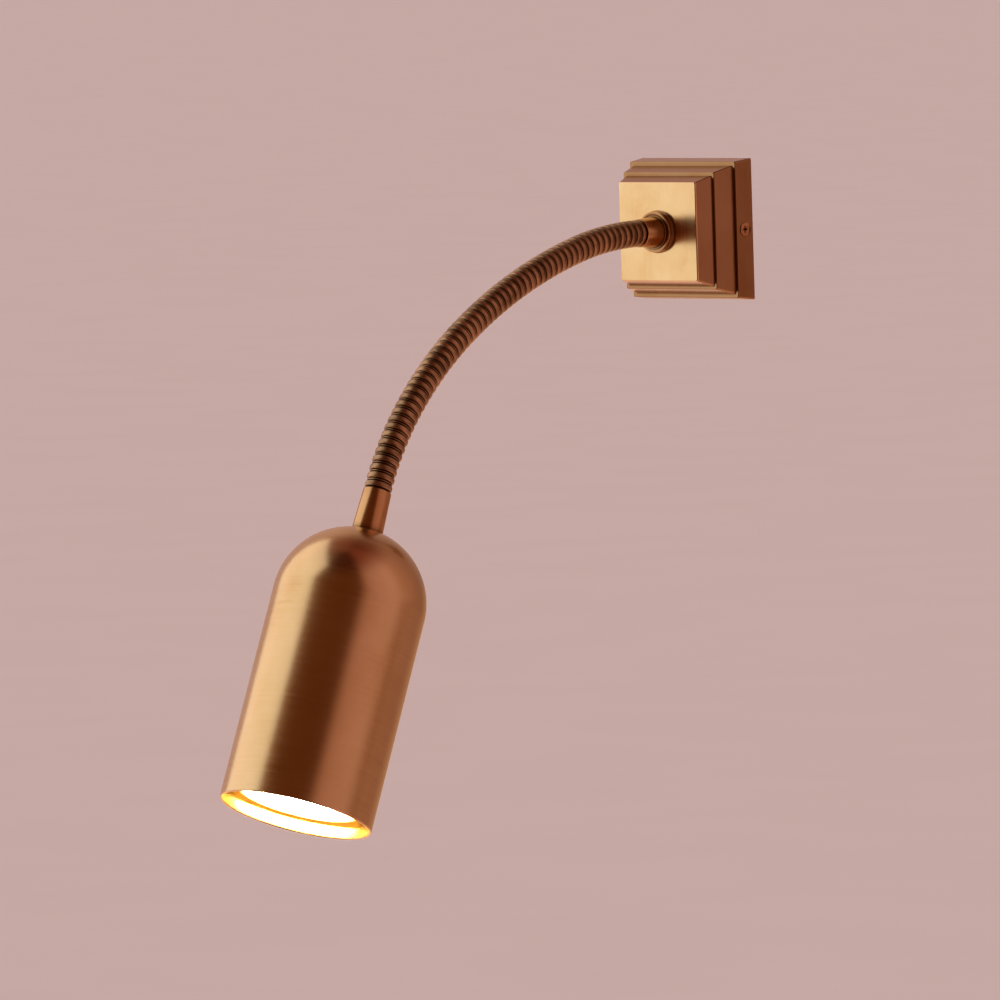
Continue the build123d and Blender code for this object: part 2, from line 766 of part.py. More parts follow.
with BuildPart() as lampholder_screws:
    with BuildSketch(shade_plane(foot_top)):
        with GridLocations(holder_screw_spacing, 0, 2, 1):
            Circle(holder_screw_diameter / 2)
    extrude(amount=holder_screw_length)
    with BuildSketch(shade_plane(foot_top)):
        with GridLocations(holder_screw_spacing, 0, 2, 1):
            Circle(holder_screw_head_diameter / 2)
    extrude(amount=-holder_screw_head_height)
    with BuildSketch(shade_plane(foot_top - holder_screw_head_height)):
        with GridLocations(holder_screw_spacing, 0, 2, 1):
            Rectangle(recess_span, recess_width)
            Rectangle(recess_width, recess_span)
    extrude(amount=recess_depth, mode=Mode.SUBTRACT)
save(lampholder_screws, "lampholder_screws")

# Sprung strips: a tongue over each pin's head and a riser to the pocket's roof.
pin_head_top = holder_bottom - holder_floor - pin_play - pin_head_height
tongue = pin_head_top - contact_to_pin_gap - contact_thickness / 2
pocket_roof = holder_bottom - holder_floor - holder_pocket_height
contact_foot = pocket_roof + contact_to_roof_gap + contact_thickness / 2
riser = holder_pocket_diameter / 2 - contact_to_wall_gap
with BuildPart() as contact_springs:
    for side in (1, -1):
        with BuildSketch(shade_section):
            with BuildLine():
                FilletPolyline(
                    (side * (pin_circle - contact_tongue_reach), tongue),
                    (side * riser, tongue),
                    (side * riser, contact_foot),
                    (side * (pin_circle - contact_foot_reach), contact_foot),
                    radius=contact_bend_radius,
                )
                offset(amount=contact_thickness / 2, side=Side.BOTH)
            make_face()
        extrude(amount=contact_width / 2, both=True)
save(contact_springs, "contact_springs")

# ---------------------------------------------------------------- lamp
neck_radius = lamp_neck_diameter / 2
lamp_lens_diameter = lamp_diameter - 2 * lamp_ring_width
neck_end = lamp_seat + lamp_neck_height
bezel_top = lens_face - lamp_bezel_height
bowl_rim = lamp_lens_diameter / 2 + lamp_bowl_in_bezel
bowl_waist = lamp_waist_diameter / 2
bowl_shoulder = lamp_seat + lamp_waist_height
lip = lens_face + lamp_bezel_lip

with BuildPart() as lamp_base:
    with BuildSketch(shade_plane(lamp_seat)):
        Circle(neck_radius)
    extrude(amount=lamp_neck_height)
    chamfer(lamp_base.edges().filter_by(GeomType.CIRCLE), lamp_base_edge)
save(lamp_base, "lamp_base")

with BuildPart() as lamp_pins:
    with BuildSketch(shade_plane(lamp_seat)):
        with GridLocations(pin_spacing, 0, 2, 1):
            Circle(pin_diameter / 2)
    extrude(amount=-(lamp_seat - pin_head_top))
    with BuildSketch(shade_plane(pin_head_top)):
        with GridLocations(pin_spacing, 0, 2, 1):
            Circle(pin_head_diameter / 2)
    extrude(amount=pin_head_height)
    chamfer(
        lamp_pins.edges()
        .filter_by(GeomType.CIRCLE)
        .sort_by(lambda e: (e @ 0 - Vector(shade_top)).dot(Vector(shade_down)))[:2],
        pin_head_edge,
    )
save(lamp_pins, "lamp_pins")

# Hollow bowl from the neck out to the bezel, open towards the lens.
with BuildPart() as lamp_bowl:
    with BuildSketch(shade_section):
        with BuildLine():
            Polyline(
                (0, neck_end),
                (neck_radius, neck_end),
                (bowl_waist, bowl_shoulder),
                (bowl_rim, bezel_top),
                (bowl_rim - lamp_wall, bezel_top),
                (bowl_waist - lamp_wall, bowl_shoulder),
                (neck_radius - lamp_wall, neck_end + lamp_wall),
                (0, neck_end + lamp_wall),
                close=True,
            )
        make_face()
    revolve(axis=shade_axis)
save(lamp_bowl, "lamp_bowl")

with BuildPart() as lamp_bezel:
    with BuildSketch(shade_section):
        with BuildLine():
            Polyline(
                (bowl_rim - lamp_wall, bezel_top),
                (lamp_diameter / 2, bezel_top),
                (lamp_diameter / 2, lip),
                (lamp_lens_diameter / 2, lip),
                (lamp_lens_diameter / 2, lens_face - lamp_lens_thickness),
                (bowl_rim - lamp_wall, lens_face - lamp_lens_thickness),
                close=True,
            )
        make_face()
    revolve(axis=shade_axis)
    chamfer(lamp_bezel.edges().filter_by(GeomType.CIRCLE).sort_by(SortBy.RADIUS)[-2:], lamp_bezel_edge)
save(lamp_bezel, "lamp_bezel")

with BuildPart() as lamp_lens:
    with BuildSketch(shade_plane(lens_face - lamp_lens_thickness)):
        Circle(lamp_lens_diameter / 2 - thread_play)
    extrude(amount=lamp_lens_thickness)
save(lamp_lens, "lamp_lens")


# ---------------------------------------------------------------- flex and cores
# The flex follows the neck from behind the rose's nut to below the shade's nut.
with BuildPart() as neck_flex:
    with BuildLine(Plane.YZ) as flex_path:
        Line((-flex_end_depth, 0), (-neck_start, 0))
        for turn in stretch_turns:
            last = flex_path.edges()[-1]
            JernArc(last @ 1, last % 1, stretch_length / math.radians(turn), turn)
        last = flex_path.edges()[-1]
        PolarLine(last @ 1, shade_ferrule_length + flex_in_shade, direction=last % 1)
    with BuildSketch(Plane.XZ.offset(flex_end_depth)):
        Circle(flex_diameter / 2)
    sweep()
save(neck_flex, "neck_flex")


def core(*points):
    """One insulated core along straight runs joined by tangent bends."""
    with BuildPart() as wire:
        with BuildLine() as route:
            FilletPolyline(*points, radius=core_bend_radius)
        with BuildSketch(Plane(origin=route.line @ 0, z_dir=route.line % 0)):
            Circle(core_diameter / 2)
        sweep()
    return wire


# From the flex's end in the rose each core bends down into the top of its own tube.
tube_top = -terminal_drop + terminal_length / 2
core_ends = {
    "live_core": (-terminal_pitch, -core_spread, 0.0),
    "earth_core": (0.0, 0.0, core_spread),
    "neutral_core": (terminal_pitch, core_spread, 0.0),
}
for name, (tube_across, start_across, start_height) in core_ends.items():
    save(
        core(
            (start_across, -flex_end_depth, start_height),
            (start_across, -flex_end_depth + core_straight, start_height),
            (tube_across, -tube_depth, core_loop_height + start_height),
            (tube_across, -tube_depth, tube_top - core_in_tube),
        ),
        name,
    )


def in_shade(across, down, aside=0.0):
    """A point in the shade: across on X, down its axis, and aside in the neck's own plane."""
    return (
        across,
        shade_y + down * shade_down[1] + aside * shade_down[2],
        shade_z + down * shade_down[2] - aside * shade_down[1],
    )


# Below the shade's nut two cores drop to the holder, and the earth core turns back to its tag.
for side, name in ((-1, "lamp_live_core"), (1, "lamp_neutral_core")):
    save(
        core(
            in_shade(side * core_spread, flex_in_shade),
            in_shade(side * core_spread, flex_in_shade + core_straight),
            in_shade(side * pin_circle, flex_in_shade + 6 * core_straight),
            in_shade(side * pin_circle, holder_top + holder_height - holder_floor - holder_pocket_height),
        ),
        name,
    )
tag_tail = -(nipple_radius + 2 * earth_screw_diameter - core_diameter)
save(
    core(
        in_shade(0, flex_in_shade, -core_spread),
        in_shade(0, flex_in_shade + 2.2 * core_bend_radius, -core_spread),
        in_shade(0, flex_in_shade + 2.2 * core_bend_radius, tag_tail),
        in_shade(0, tag_top + earth_tag_thickness, tag_tail),
    ),
    "shade_earth_core",
)
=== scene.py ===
"""Bedside wall reading lamp in satin antique brass: the looks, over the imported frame.

The wall is the plane Y = 0, the lamp reaches out towards -Y and +Z is up. Sizes in the lamp's classes
are in millimetres and become metres when a mesh is made. The studio's are in metres.
"""

import logging
import math
from dataclasses import dataclass, field
from enum import Enum
from typing import Any, ClassVar, Sequence

import bmesh
import bpy
from mathutils import Matrix, Vector

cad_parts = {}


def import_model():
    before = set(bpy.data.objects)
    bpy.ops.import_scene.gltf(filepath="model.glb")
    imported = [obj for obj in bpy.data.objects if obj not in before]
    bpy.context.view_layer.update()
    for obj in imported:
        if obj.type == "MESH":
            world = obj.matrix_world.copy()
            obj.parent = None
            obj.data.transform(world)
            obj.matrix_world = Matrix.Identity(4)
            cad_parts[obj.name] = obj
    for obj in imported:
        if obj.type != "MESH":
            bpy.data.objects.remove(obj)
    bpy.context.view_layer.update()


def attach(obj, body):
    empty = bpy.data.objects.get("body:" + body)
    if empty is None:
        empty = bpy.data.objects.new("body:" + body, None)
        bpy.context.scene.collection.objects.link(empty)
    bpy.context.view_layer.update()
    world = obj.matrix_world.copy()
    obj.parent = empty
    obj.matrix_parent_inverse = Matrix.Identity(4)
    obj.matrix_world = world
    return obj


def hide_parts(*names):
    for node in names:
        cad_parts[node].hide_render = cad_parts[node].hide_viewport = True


MM = 0.001
NOISE_SPAN = (0.3, 0.7)  # a noise texture's values mostly lie between these
NEARLY_STRAIGHT = math.radians(89)  # half the angle of a corner that needs no rounding
Point2 = tuple[float, float]
log = logging.getLogger("reading_lamp")


# ---------------------------------------------------------------- small helpers
def linear(hex_colour: str) -> tuple[float, float, float, float]:
    """Turn an sRGB hex colour into Blender's linear RGBA.

    Args:
        hex_colour: six hex digits, with or without a leading #.

    Returns:
        Linear red, green, blue and an alpha of 1.
    """
    digits = hex_colour.lstrip("#")
    channels = [int(digits[i : i + 2], 16) / 255 for i in (0, 2, 4)]
    curve = [c / 12.92 if c <= 0.04045 else ((c + 0.055) / 1.055) ** 2.4 for c in channels]
    return (curve[0], curve[1], curve[2], 1.0)


def add_node(
    tree: bpy.types.NodeTree,
    kind: str,
    settings: dict[str, Any] | None = None,
    inputs: dict[str | int, Any] | None = None,
    links: dict[str | int, bpy.types.NodeSocket] | None = None,
) -> bpy.types.Node:
    """Add one shader node with its settings, its input values and its links.

    Args:
        tree: the node tree of a material or a world.
        kind: the node's type, such as "ShaderNodeMix".
        settings: attributes of the node.
        inputs: default values, by socket name or number.
        links: sockets of other nodes that feed this one, by socket name or number.

    Returns:
        The new node.
    """
    node = tree.nodes.new(kind)
    for name, value in (settings or {}).items():
        setattr(node, name, value)
    for name, value in (inputs or {}).items():
        node.inputs[name].default_value = value
    for name, socket in (links or {}).items():
        tree.links.new(socket, node.inputs[name])
    return node


def bare_tree(owner: bpy.types.Material | bpy.types.World) -> bpy.types.NodeTree:
    """Switch the nodes of a material or a world on and clear them.

    Args:
        owner: the material or the world.

    Returns:
        Its empty node tree.
    """
    owner.use_nodes = True
    owner.node_tree.nodes.clear()
    return owner.node_tree


def mesh_object(name: str, build: bmesh.types.BMesh, smooth_below: float = 35.0) -> bpy.types.Object:
    """Make an object of a finished bmesh, smooth except over edges sharper than an angle.

    Args:
        name: the object's name.
        build: the mesh to take; it is freed.
        smooth_below: edges that turn by more than this, in degrees, stay crisp.

    Returns:
        The object, linked into the scene.
    """
    bmesh.ops.recalc_face_normals(build, faces=build.faces)
    mesh = bpy.data.meshes.new(name)
    build.to_mesh(mesh)
    build.free()
    mesh.polygons.foreach_set("use_smooth", [True] * len(mesh.polygons))
    mesh.set_sharp_from_angle(angle=math.radians(smooth_below))
    piece = bpy.data.objects.new(name, mesh)
    bpy.context.scene.collection.objects.link(piece)
    return piece


def rounded(points: Sequence[Point2], radii: Sequence[float], steps: int = 4) -> list[Point2]:
    """Round the corners of an open profile with tangent arcs.

    Args:
        points: the profile's corners in mm.
        radii: one radius for each corner; 0 keeps it sharp.
        steps: straight steps in each arc.

    Returns:
        The profile with each rounded corner turned into short steps.
    """
    path: list[Point2] = []
    for i, (corner, radius) in enumerate(zip(points, radii)):
        if radius <= 0 or i in (0, len(points) - 1):
            path.append(corner)
            continue
        here = Vector(corner)
        back = (Vector(points[i - 1]) - here).normalized()
        ahead = (Vector(points[i + 1]) - here).normalized()
        half = math.acos(max(-1.0, min(1.0, back.dot(ahead)))) / 2
        if half > NEARLY_STRAIGHT:
            path.append(corner)
            continue
        reach = radius / math.tan(half)
        centre = here + (back + ahead).normalized() * (radius / math.sin(half))
        first = here + back * reach - centre
        last = here + ahead * reach - centre
        turn = first.angle_signed(last)
        for k in range(steps + 1):
            spoke = first.copy()
            spoke.rotate(Matrix.Rotation(-turn * k / steps, 2))
            path.append(tuple(centre + spoke))
    return path


def skin(build: bmesh.types.BMesh, loops: Sequence[Sequence[Vector]], closed: bool = False) -> None:
    """Join neighbouring loops of equal count with quads.

    Args:
        build: the mesh to add to.
        loops: rings of points, in order.
        closed: whether the last ring joins back to the first.
    """
    rings = [[build.verts.new(p) for p in loop] for loop in loops]
    pairs = list(zip(rings, rings[1:]))
    if closed:
        pairs.append((rings[-1], rings[0]))
    for low, high in pairs:
        count = len(low)
        for i in range(count):
            build.faces.new((low[i], low[(i + 1) % count], high[(i + 1) % count], high[i]))


@dataclass(frozen=True)
class Spindle:
    """A line that turned pieces stand on: an origin in mm, and a heading in the YZ plane in radians."""

    y: float
    z: float
    heading: float

    def point(self, radius: float, angle: float, along: float) -> Vector:
        """A point round the line and some way along it.

        Args:
            radius: its distance from the line in mm.
            angle: its angle round the line in radians, from +X.
            along: how far along the line it stands, in mm.

        Returns:
            The point in metres.
        """
        out_y, out_z = -math.cos(self.heading), -math.sin(self.heading)
        side_y, side_z = -math.sin(self.heading), math.cos(self.heading)
        across = radius * math.cos(angle)
        aside = radius * math.sin(angle)
        return Vector(
            (
                across * MM,
                (self.y + along * out_y + aside * side_y) * MM,
                (self.z + along * out_z + aside * side_z) * MM,
            )
        )

    def loop(self, radius: float, segments: int, along: float = 0.0) -> list[Vector]:
        """A circle of points round the line.

        Args:
            radius: its radius in mm.
            segments: how many points it has.
            along: how far along the line it stands, in mm.

        Returns:
            The points in metres.
        """
        return [self.point(radius, 2 * math.pi * k / segments, along) for k in range(segments)]

    def lathe(self, name: str, profile: Sequence[Point2], segments: int = 128) -> bpy.types.Object:
        """Turn a closed profile of (radius, along) points round the line.

        Args:
            name: the object's name.
            profile: a closed ring of points clear of the line itself.
            segments: straight steps round the line.

        Returns:
            The turned piece.
        """
        build = bmesh.new()
        skin(build, [self.loop(radius, segments, along) for radius, along in profile], closed=True)
        return mesh_object(name, build)


# ---------------------------------------------------------------- finishes
class Grain(Enum):
    """Which way a brushed surface's lines run."""

    AROUND = "around the spindle"
    UPRIGHT = "up and down the wall"


def surface_place(
    tree: bpy.types.NodeTree, turn: float, size: tuple[float, float, float]
) -> bpy.types.NodeSocket:
    """Coordinates fixed to the piece, turned onto its spindle and measured in steps of real sizes.

    Args:
        tree: the material's node tree.
        turn: rotation about X in radians that brings local Z onto the spindle.
        size: the pattern's step along each local axis, in mm.

    Returns:
        The vector socket to feed to a texture.
    """
    place = add_node(tree, "ShaderNodeTexCoord")
    mapping = add_node(
        tree,
        "ShaderNodeMapping",
        {"vector_type": "TEXTURE"},
        {"Rotation": (turn, 0.0, 0.0), "Scale": tuple(s * MM for s in size)},
        {"Vector": place.outputs["Object"]},
    )
    return mapping.outputs["Vector"]


@dataclass(frozen=True)
class AgedBrass:
    """Brass, brushed, toned and lacquered: a warm satin metal with fine lines and a soft cloudiness.

    The lines stretch each highlight across themselves, the toning browns it in slow clouds and the
    clear lacquer puts a thin, sharper gleam on top. Painted shade: an ambient-occlusion mask darkens
    corners, grooves and recesses towards the corner colour. Where buffed_from is set, only what stands
    farther out from the wall than that, in mm, is buffed bright, and the rest keeps its toning.
    """

    name: str
    light: str = "#EDD29F"
    mid: str = "#E6C891"
    dark: str = "#DDB77E"
    # painted shade: the colour that ambient occlusion darkens corners, grooves and recesses towards
    corner: str = "#2A140A"
    painted_shade_reach: float = 3.0
    painted_shade_from: float = 0.45
    painted_shade_to: float = 0.95
    own_corners: bool = False
    toning: str = "#B9A89F"
    buffed_from: float = 0.0
    buffed_blend: float = 0.3
    tone_stops: tuple[float, float, float] = (0.42, 0.62, 0.90)
    line_tone: float = 0.15
    roughness: float = 0.22
    sheen_spread: tuple[float, float] = (-0.02, 0.03)
    grain: Grain = Grain.AROUND
    turn: float = 0.0
    # Real brushing lines lie about 0.1 mm apart, too fine to show: they are drawn three times as
    # coarse or more, so that they do.
    line_pitch: float = 0.45
    line_length: float = 26.0
    line_depth: float = 0.004
    line_strength: float = 0.35
    cloud_size: float = 16.0
    lacquer: float = 0.10
    lacquer_roughness: float = 0.18

    def toned_back(self, tree: bpy.types.NodeTree, colour: bpy.types.NodeSocket) -> bpy.types.NodeSocket:
        """Keep the toning on all that lies behind the buffed front.

        Args:
            tree: the material's node tree.
            colour: the buffed metal's colour.

        Returns:
            The colour socket with the toning on it.
        """
        place = add_node(tree, "ShaderNodeTexCoord")
        split = add_node(tree, "ShaderNodeSeparateXYZ", links={"Vector": place.outputs["Object"]})
        behind = add_node(
            tree,
            "ShaderNodeMapRange",
            inputs={
                "From Min": -(self.buffed_from + self.buffed_blend) * MM,
                "From Max": -self.buffed_from * MM,
            },
            links={"Value": split.outputs["Y"]},
        )
        toned = add_node(
            tree,
            "ShaderNodeMix",
            {"data_type": "RGBA", "blend_type": "MULTIPLY"},
            {7: linear(self.toning)},
            {0: behind.outputs["Result"], 6: colour},
        )
        return toned.outputs[2]

    def build(self) -> bpy.types.Material:
        """Make the node material.

        Returns:
            The material.
        """
        material = bpy.data.materials.new(self.name)
        tree = bare_tree(material)
        if self.grain is Grain.AROUND:
            line_size = (self.line_length, self.line_length, self.line_pitch)
        else:
            line_size = (self.line_pitch, self.line_pitch, self.line_length)
        lines = add_node(
            tree,
            "ShaderNodeTexNoise",
            inputs={"Scale": 1.0, "Detail": 3.0, "Roughness": 0.65},
            links={"Vector": surface_place(tree, self.turn, line_size)},
        )
        clouds = add_node(
            tree,
            "ShaderNodeTexNoise",
            inputs={"Scale": 1.0, "Detail": 4.0, "Roughness": 0.55, "Distortion": 0.4},
            links={"Vector": surface_place(tree, self.turn, (self.cloud_size,) * 3)},
        )
        toning = add_node(
            tree,
            "ShaderNodeMath",
            {"operation": "MULTIPLY_ADD"},
            {1: self.line_tone},
            {0: lines.outputs["Fac"], 2: clouds.outputs["Fac"]},
        )
        ramp = add_node(tree, "ShaderNodeValToRGB", links={"Fac": toning.outputs["Value"]})
        stops = ramp.color_ramp.elements
        low, middle, high = self.tone_stops
        stops[0].position, stops[0].color = low, linear(self.dark)
        stops[1].position, stops[1].color = high, linear(self.light)
        stops.new(middle).color = linear(self.mid)
        # painted shade: ambient occlusion darkens corners, grooves and recesses towards the corner colour
        open_share = add_node(
            tree,
            "ShaderNodeAmbientOcclusion",
            {"samples": 8, "only_local": self.own_corners},
            {"Distance": self.painted_shade_reach * MM},
        )
        openness = add_node(
            tree,
            "ShaderNodeMapRange",
            inputs={"From Min": self.painted_shade_from, "From Max": self.painted_shade_to},
            links={"Value": open_share.outputs["AO"]},
        )
        tone = add_node(
            tree,
            "ShaderNodeMix",
            {"data_type": "RGBA"},
            {6: linear(self.corner)},
            {0: openness.outputs["Result"], 7: ramp.outputs["Color"]},
        )
        colour = tone.outputs[2]
        if self.buffed_from:
            colour = self.toned_back(tree, colour)
        sheen = add_node(
            tree,
            "ShaderNodeMapRange",
            inputs={
                "From Min": NOISE_SPAN[0],
                "From Max": NOISE_SPAN[1],
                "To Min": self.roughness + self.sheen_spread[0],
                "To Max": self.roughness + self.sheen_spread[1],
            },
            links={"Value": lines.outputs["Fac"]},
        )
        bump = add_node(
            tree,
            "ShaderNodeBump",
            inputs={"Strength": self.line_strength, "Distance": self.line_depth * MM},
            links={"Height": lines.outputs["Fac"]},
        )
        shader = add_node(
            tree,
            "ShaderNodeBsdfPrincipled",
            inputs={
                "Metallic": 1.0,
                "Coat Weight": self.lacquer,
                "Coat Roughness": self.lacquer_roughness,
            },
            links={
                "Base Color": colour,
                "Roughness": sheen.outputs["Result"],
                "Normal": bump.outputs["Normal"],
            },
        )
        add_node(tree, "ShaderNodeOutputMaterial", links={"Surface": shader.outputs["BSDF"]})
        return material


@dataclass(frozen=True)
class Speckled:
    """A finish whose tone and roughness wander over a small real size, the speckle, in mm."""

    name: str
    light: str
    dark: str
    roughness: float
    speckle: float
    metallic: ClassVar[float] = 0.0
    roughness_spread: ClassVar[float] = 0.05

    def build(self) -> bpy.types.Material:
        """Make the node material.

        Returns:
            The material.
        """
        material = bpy.data.materials.new(self.name)
        tree = bare_tree(material)
        grain = add_node(
            tree,
            "ShaderNodeTexNoise",
            inputs={"Scale": 1.0, "Detail": 3.0, "Roughness": 0.6},
            links={"Vector": surface_place(tree, 0.0, (self.speckle,) * 3)},
        )
        tone = add_node(tree, "ShaderNodeValToRGB", links={"Fac": grain.outputs["Fac"]})
        stops = tone.color_ramp.elements
        for stop, position, colour in zip(stops, NOISE_SPAN, (self.dark, self.light)):
            stop.position, stop.color = position, linear(colour)
        rough = add_node(
            tree,
            "ShaderNodeMapRange",
            inputs={
                "From Min": NOISE_SPAN[0],
                "From Max": NOISE_SPAN[1],
                "To Min": self.roughness - self.roughness_spread,
                "To Max": self.roughness + self.roughness_spread,
            },
            links={"Value": grain.outputs["Fac"]},
        )
        shader = add_node(
            tree,
            "ShaderNodeBsdfPrincipled",
            inputs={"Metallic": self.metallic},
            links={"Base Color": tone.outputs["Color"], "Roughness": rough.outputs["Result"]},
        )
        add_node(tree, "ShaderNodeOutputMaterial", links={"Surface": shader.outputs["BSDF"]})
        return material


@dataclass(frozen=True)
class PlainMetal(Speckled):
    """A plated or plain metal with a fine speckle: zinc plate, bare brass, bronze strip or nickel."""

    metallic: ClassVar[float] = 1.0


@dataclass(frozen=True)
class Moulded(Speckled):
    """A moulded, extruded or glazed non-metal: thermoplastic, rubber sheath or steatite."""


@dataclass(frozen=True)
class LitLens:
    """Frosted polycarbonate over the diodes: a milky disc that glows an even warm white."""

    name: str = "frosted_polycarbonate_lit"
    tint: str = "#FFF4E0"
    glow: str = "#FFDC78"
    strength: float = 200.0
    unevenness: float = 0.15
    # in mm; real frost is too fine to show and is drawn this coarse
    frost: float = 3.0

    def build(self) -> bpy.types.Material:
        """Make the node material: a faint frost pattern keeps the glow from being a flat card.

        Returns:
            The material.
        """
        material = bpy.data.materials.new(self.name)
        tree = bare_tree(material)
        frost = add_node(
            tree,
            "ShaderNodeTexNoise",
            inputs={"Scale": 1.0, "Detail": 2.0},
            links={"Vector": surface_place(tree, 0.0, (self.frost,) * 3)},
        )
        level = add_node(
            tree,
            "ShaderNodeMapRange",
            inputs={
                "To Min": (1 - self.unevenness) * self.strength,
                "To Max": (1 + self.unevenness) * self.strength,
            },
            links={"Value": frost.outputs["Fac"]},
        )
        shader = add_node(
            tree,
            "ShaderNodeBsdfPrincipled",
            inputs={
                "Base Color": linear(self.tint),
                "Roughness": 0.5,
                "Emission Color": linear(self.glow),
            },
            links={"Emission Strength": level.outputs["Result"]},
        )
        add_node(tree, "ShaderNodeOutputMaterial", links={"Surface": shader.outputs["BSDF"]})
        return material


def dress(piece: bpy.types.Object, material: bpy.types.Material) -> None:
    """Give a piece or a carried-over node one material."""
    piece.data.materials.clear()
    piece.data.materials.append(material)


# ---------------------------------------------------------------- the neck's line
@dataclass(frozen=True)
class NeckLine:
    """The neck's centreline: a chain of tangent arcs that turns the neck from level to the shade."""

    start: float = 39.3
    rib_pitch: float = 3.55
    root_ribs: int = 3
    link_ribs: int = 4
    tip_ribs: int = 2
    links: int = 13
    # how far each arc turns, in degrees
    turns: tuple[float, ...] = (13.5, 8.5, 10.0, 14.5, 19.5)
    crisp_above: float = 50.0

    @property
    def ribs(self) -> int:
        """How many ribs there are in all."""
        return self.root_ribs + self.link_ribs * self.links + self.tip_ribs

    @property
    def length(self) -> float:
        """The ribbed length."""
        return self.ribs * self.rib_pitch

    def at(self, s: float) -> Spindle:
        """The place and heading s mm from the neck's start.

        Args:
            s: distance along the line; before the start and past the end it runs straight.

        Returns:
            A spindle whose line is tangent to the neck there.
        """
        y, z, heading = -self.start, 0.0, 0.0
        left = s
        if s <= 0:
            return Spindle(y - s, z, heading)
        stretch = self.length / len(self.turns)
        for turn in self.turns:
            run = min(left, stretch)
            radius = stretch / math.radians(turn)
            after = heading + run / radius
            y -= radius * (math.sin(after) - math.sin(heading))
            z -= radius * (math.cos(heading) - math.cos(after))
            heading = after
            left -= run
            if left <= 0:
                return Spindle(y, z, heading)
        return Spindle(y - left * math.cos(heading), z - left * math.sin(heading), heading)

    def sleeve(self, name: str, profile: Sequence[Point2], segments: int = 56) -> bpy.types.Object:
        """Sweep a closed profile of (radius, distance along the neck) round the line.

        Args:
            name: the object's name.
            profile: a closed ring of points in mm.
            segments: straight steps round the line.

        Returns:
            The swept piece.
        """
        build = bmesh.new()
        skin(build, [self.at(s).loop(radius, segments) for radius, s in profile], closed=True)
        return mesh_object(name, build, smooth_below=self.crisp_above)


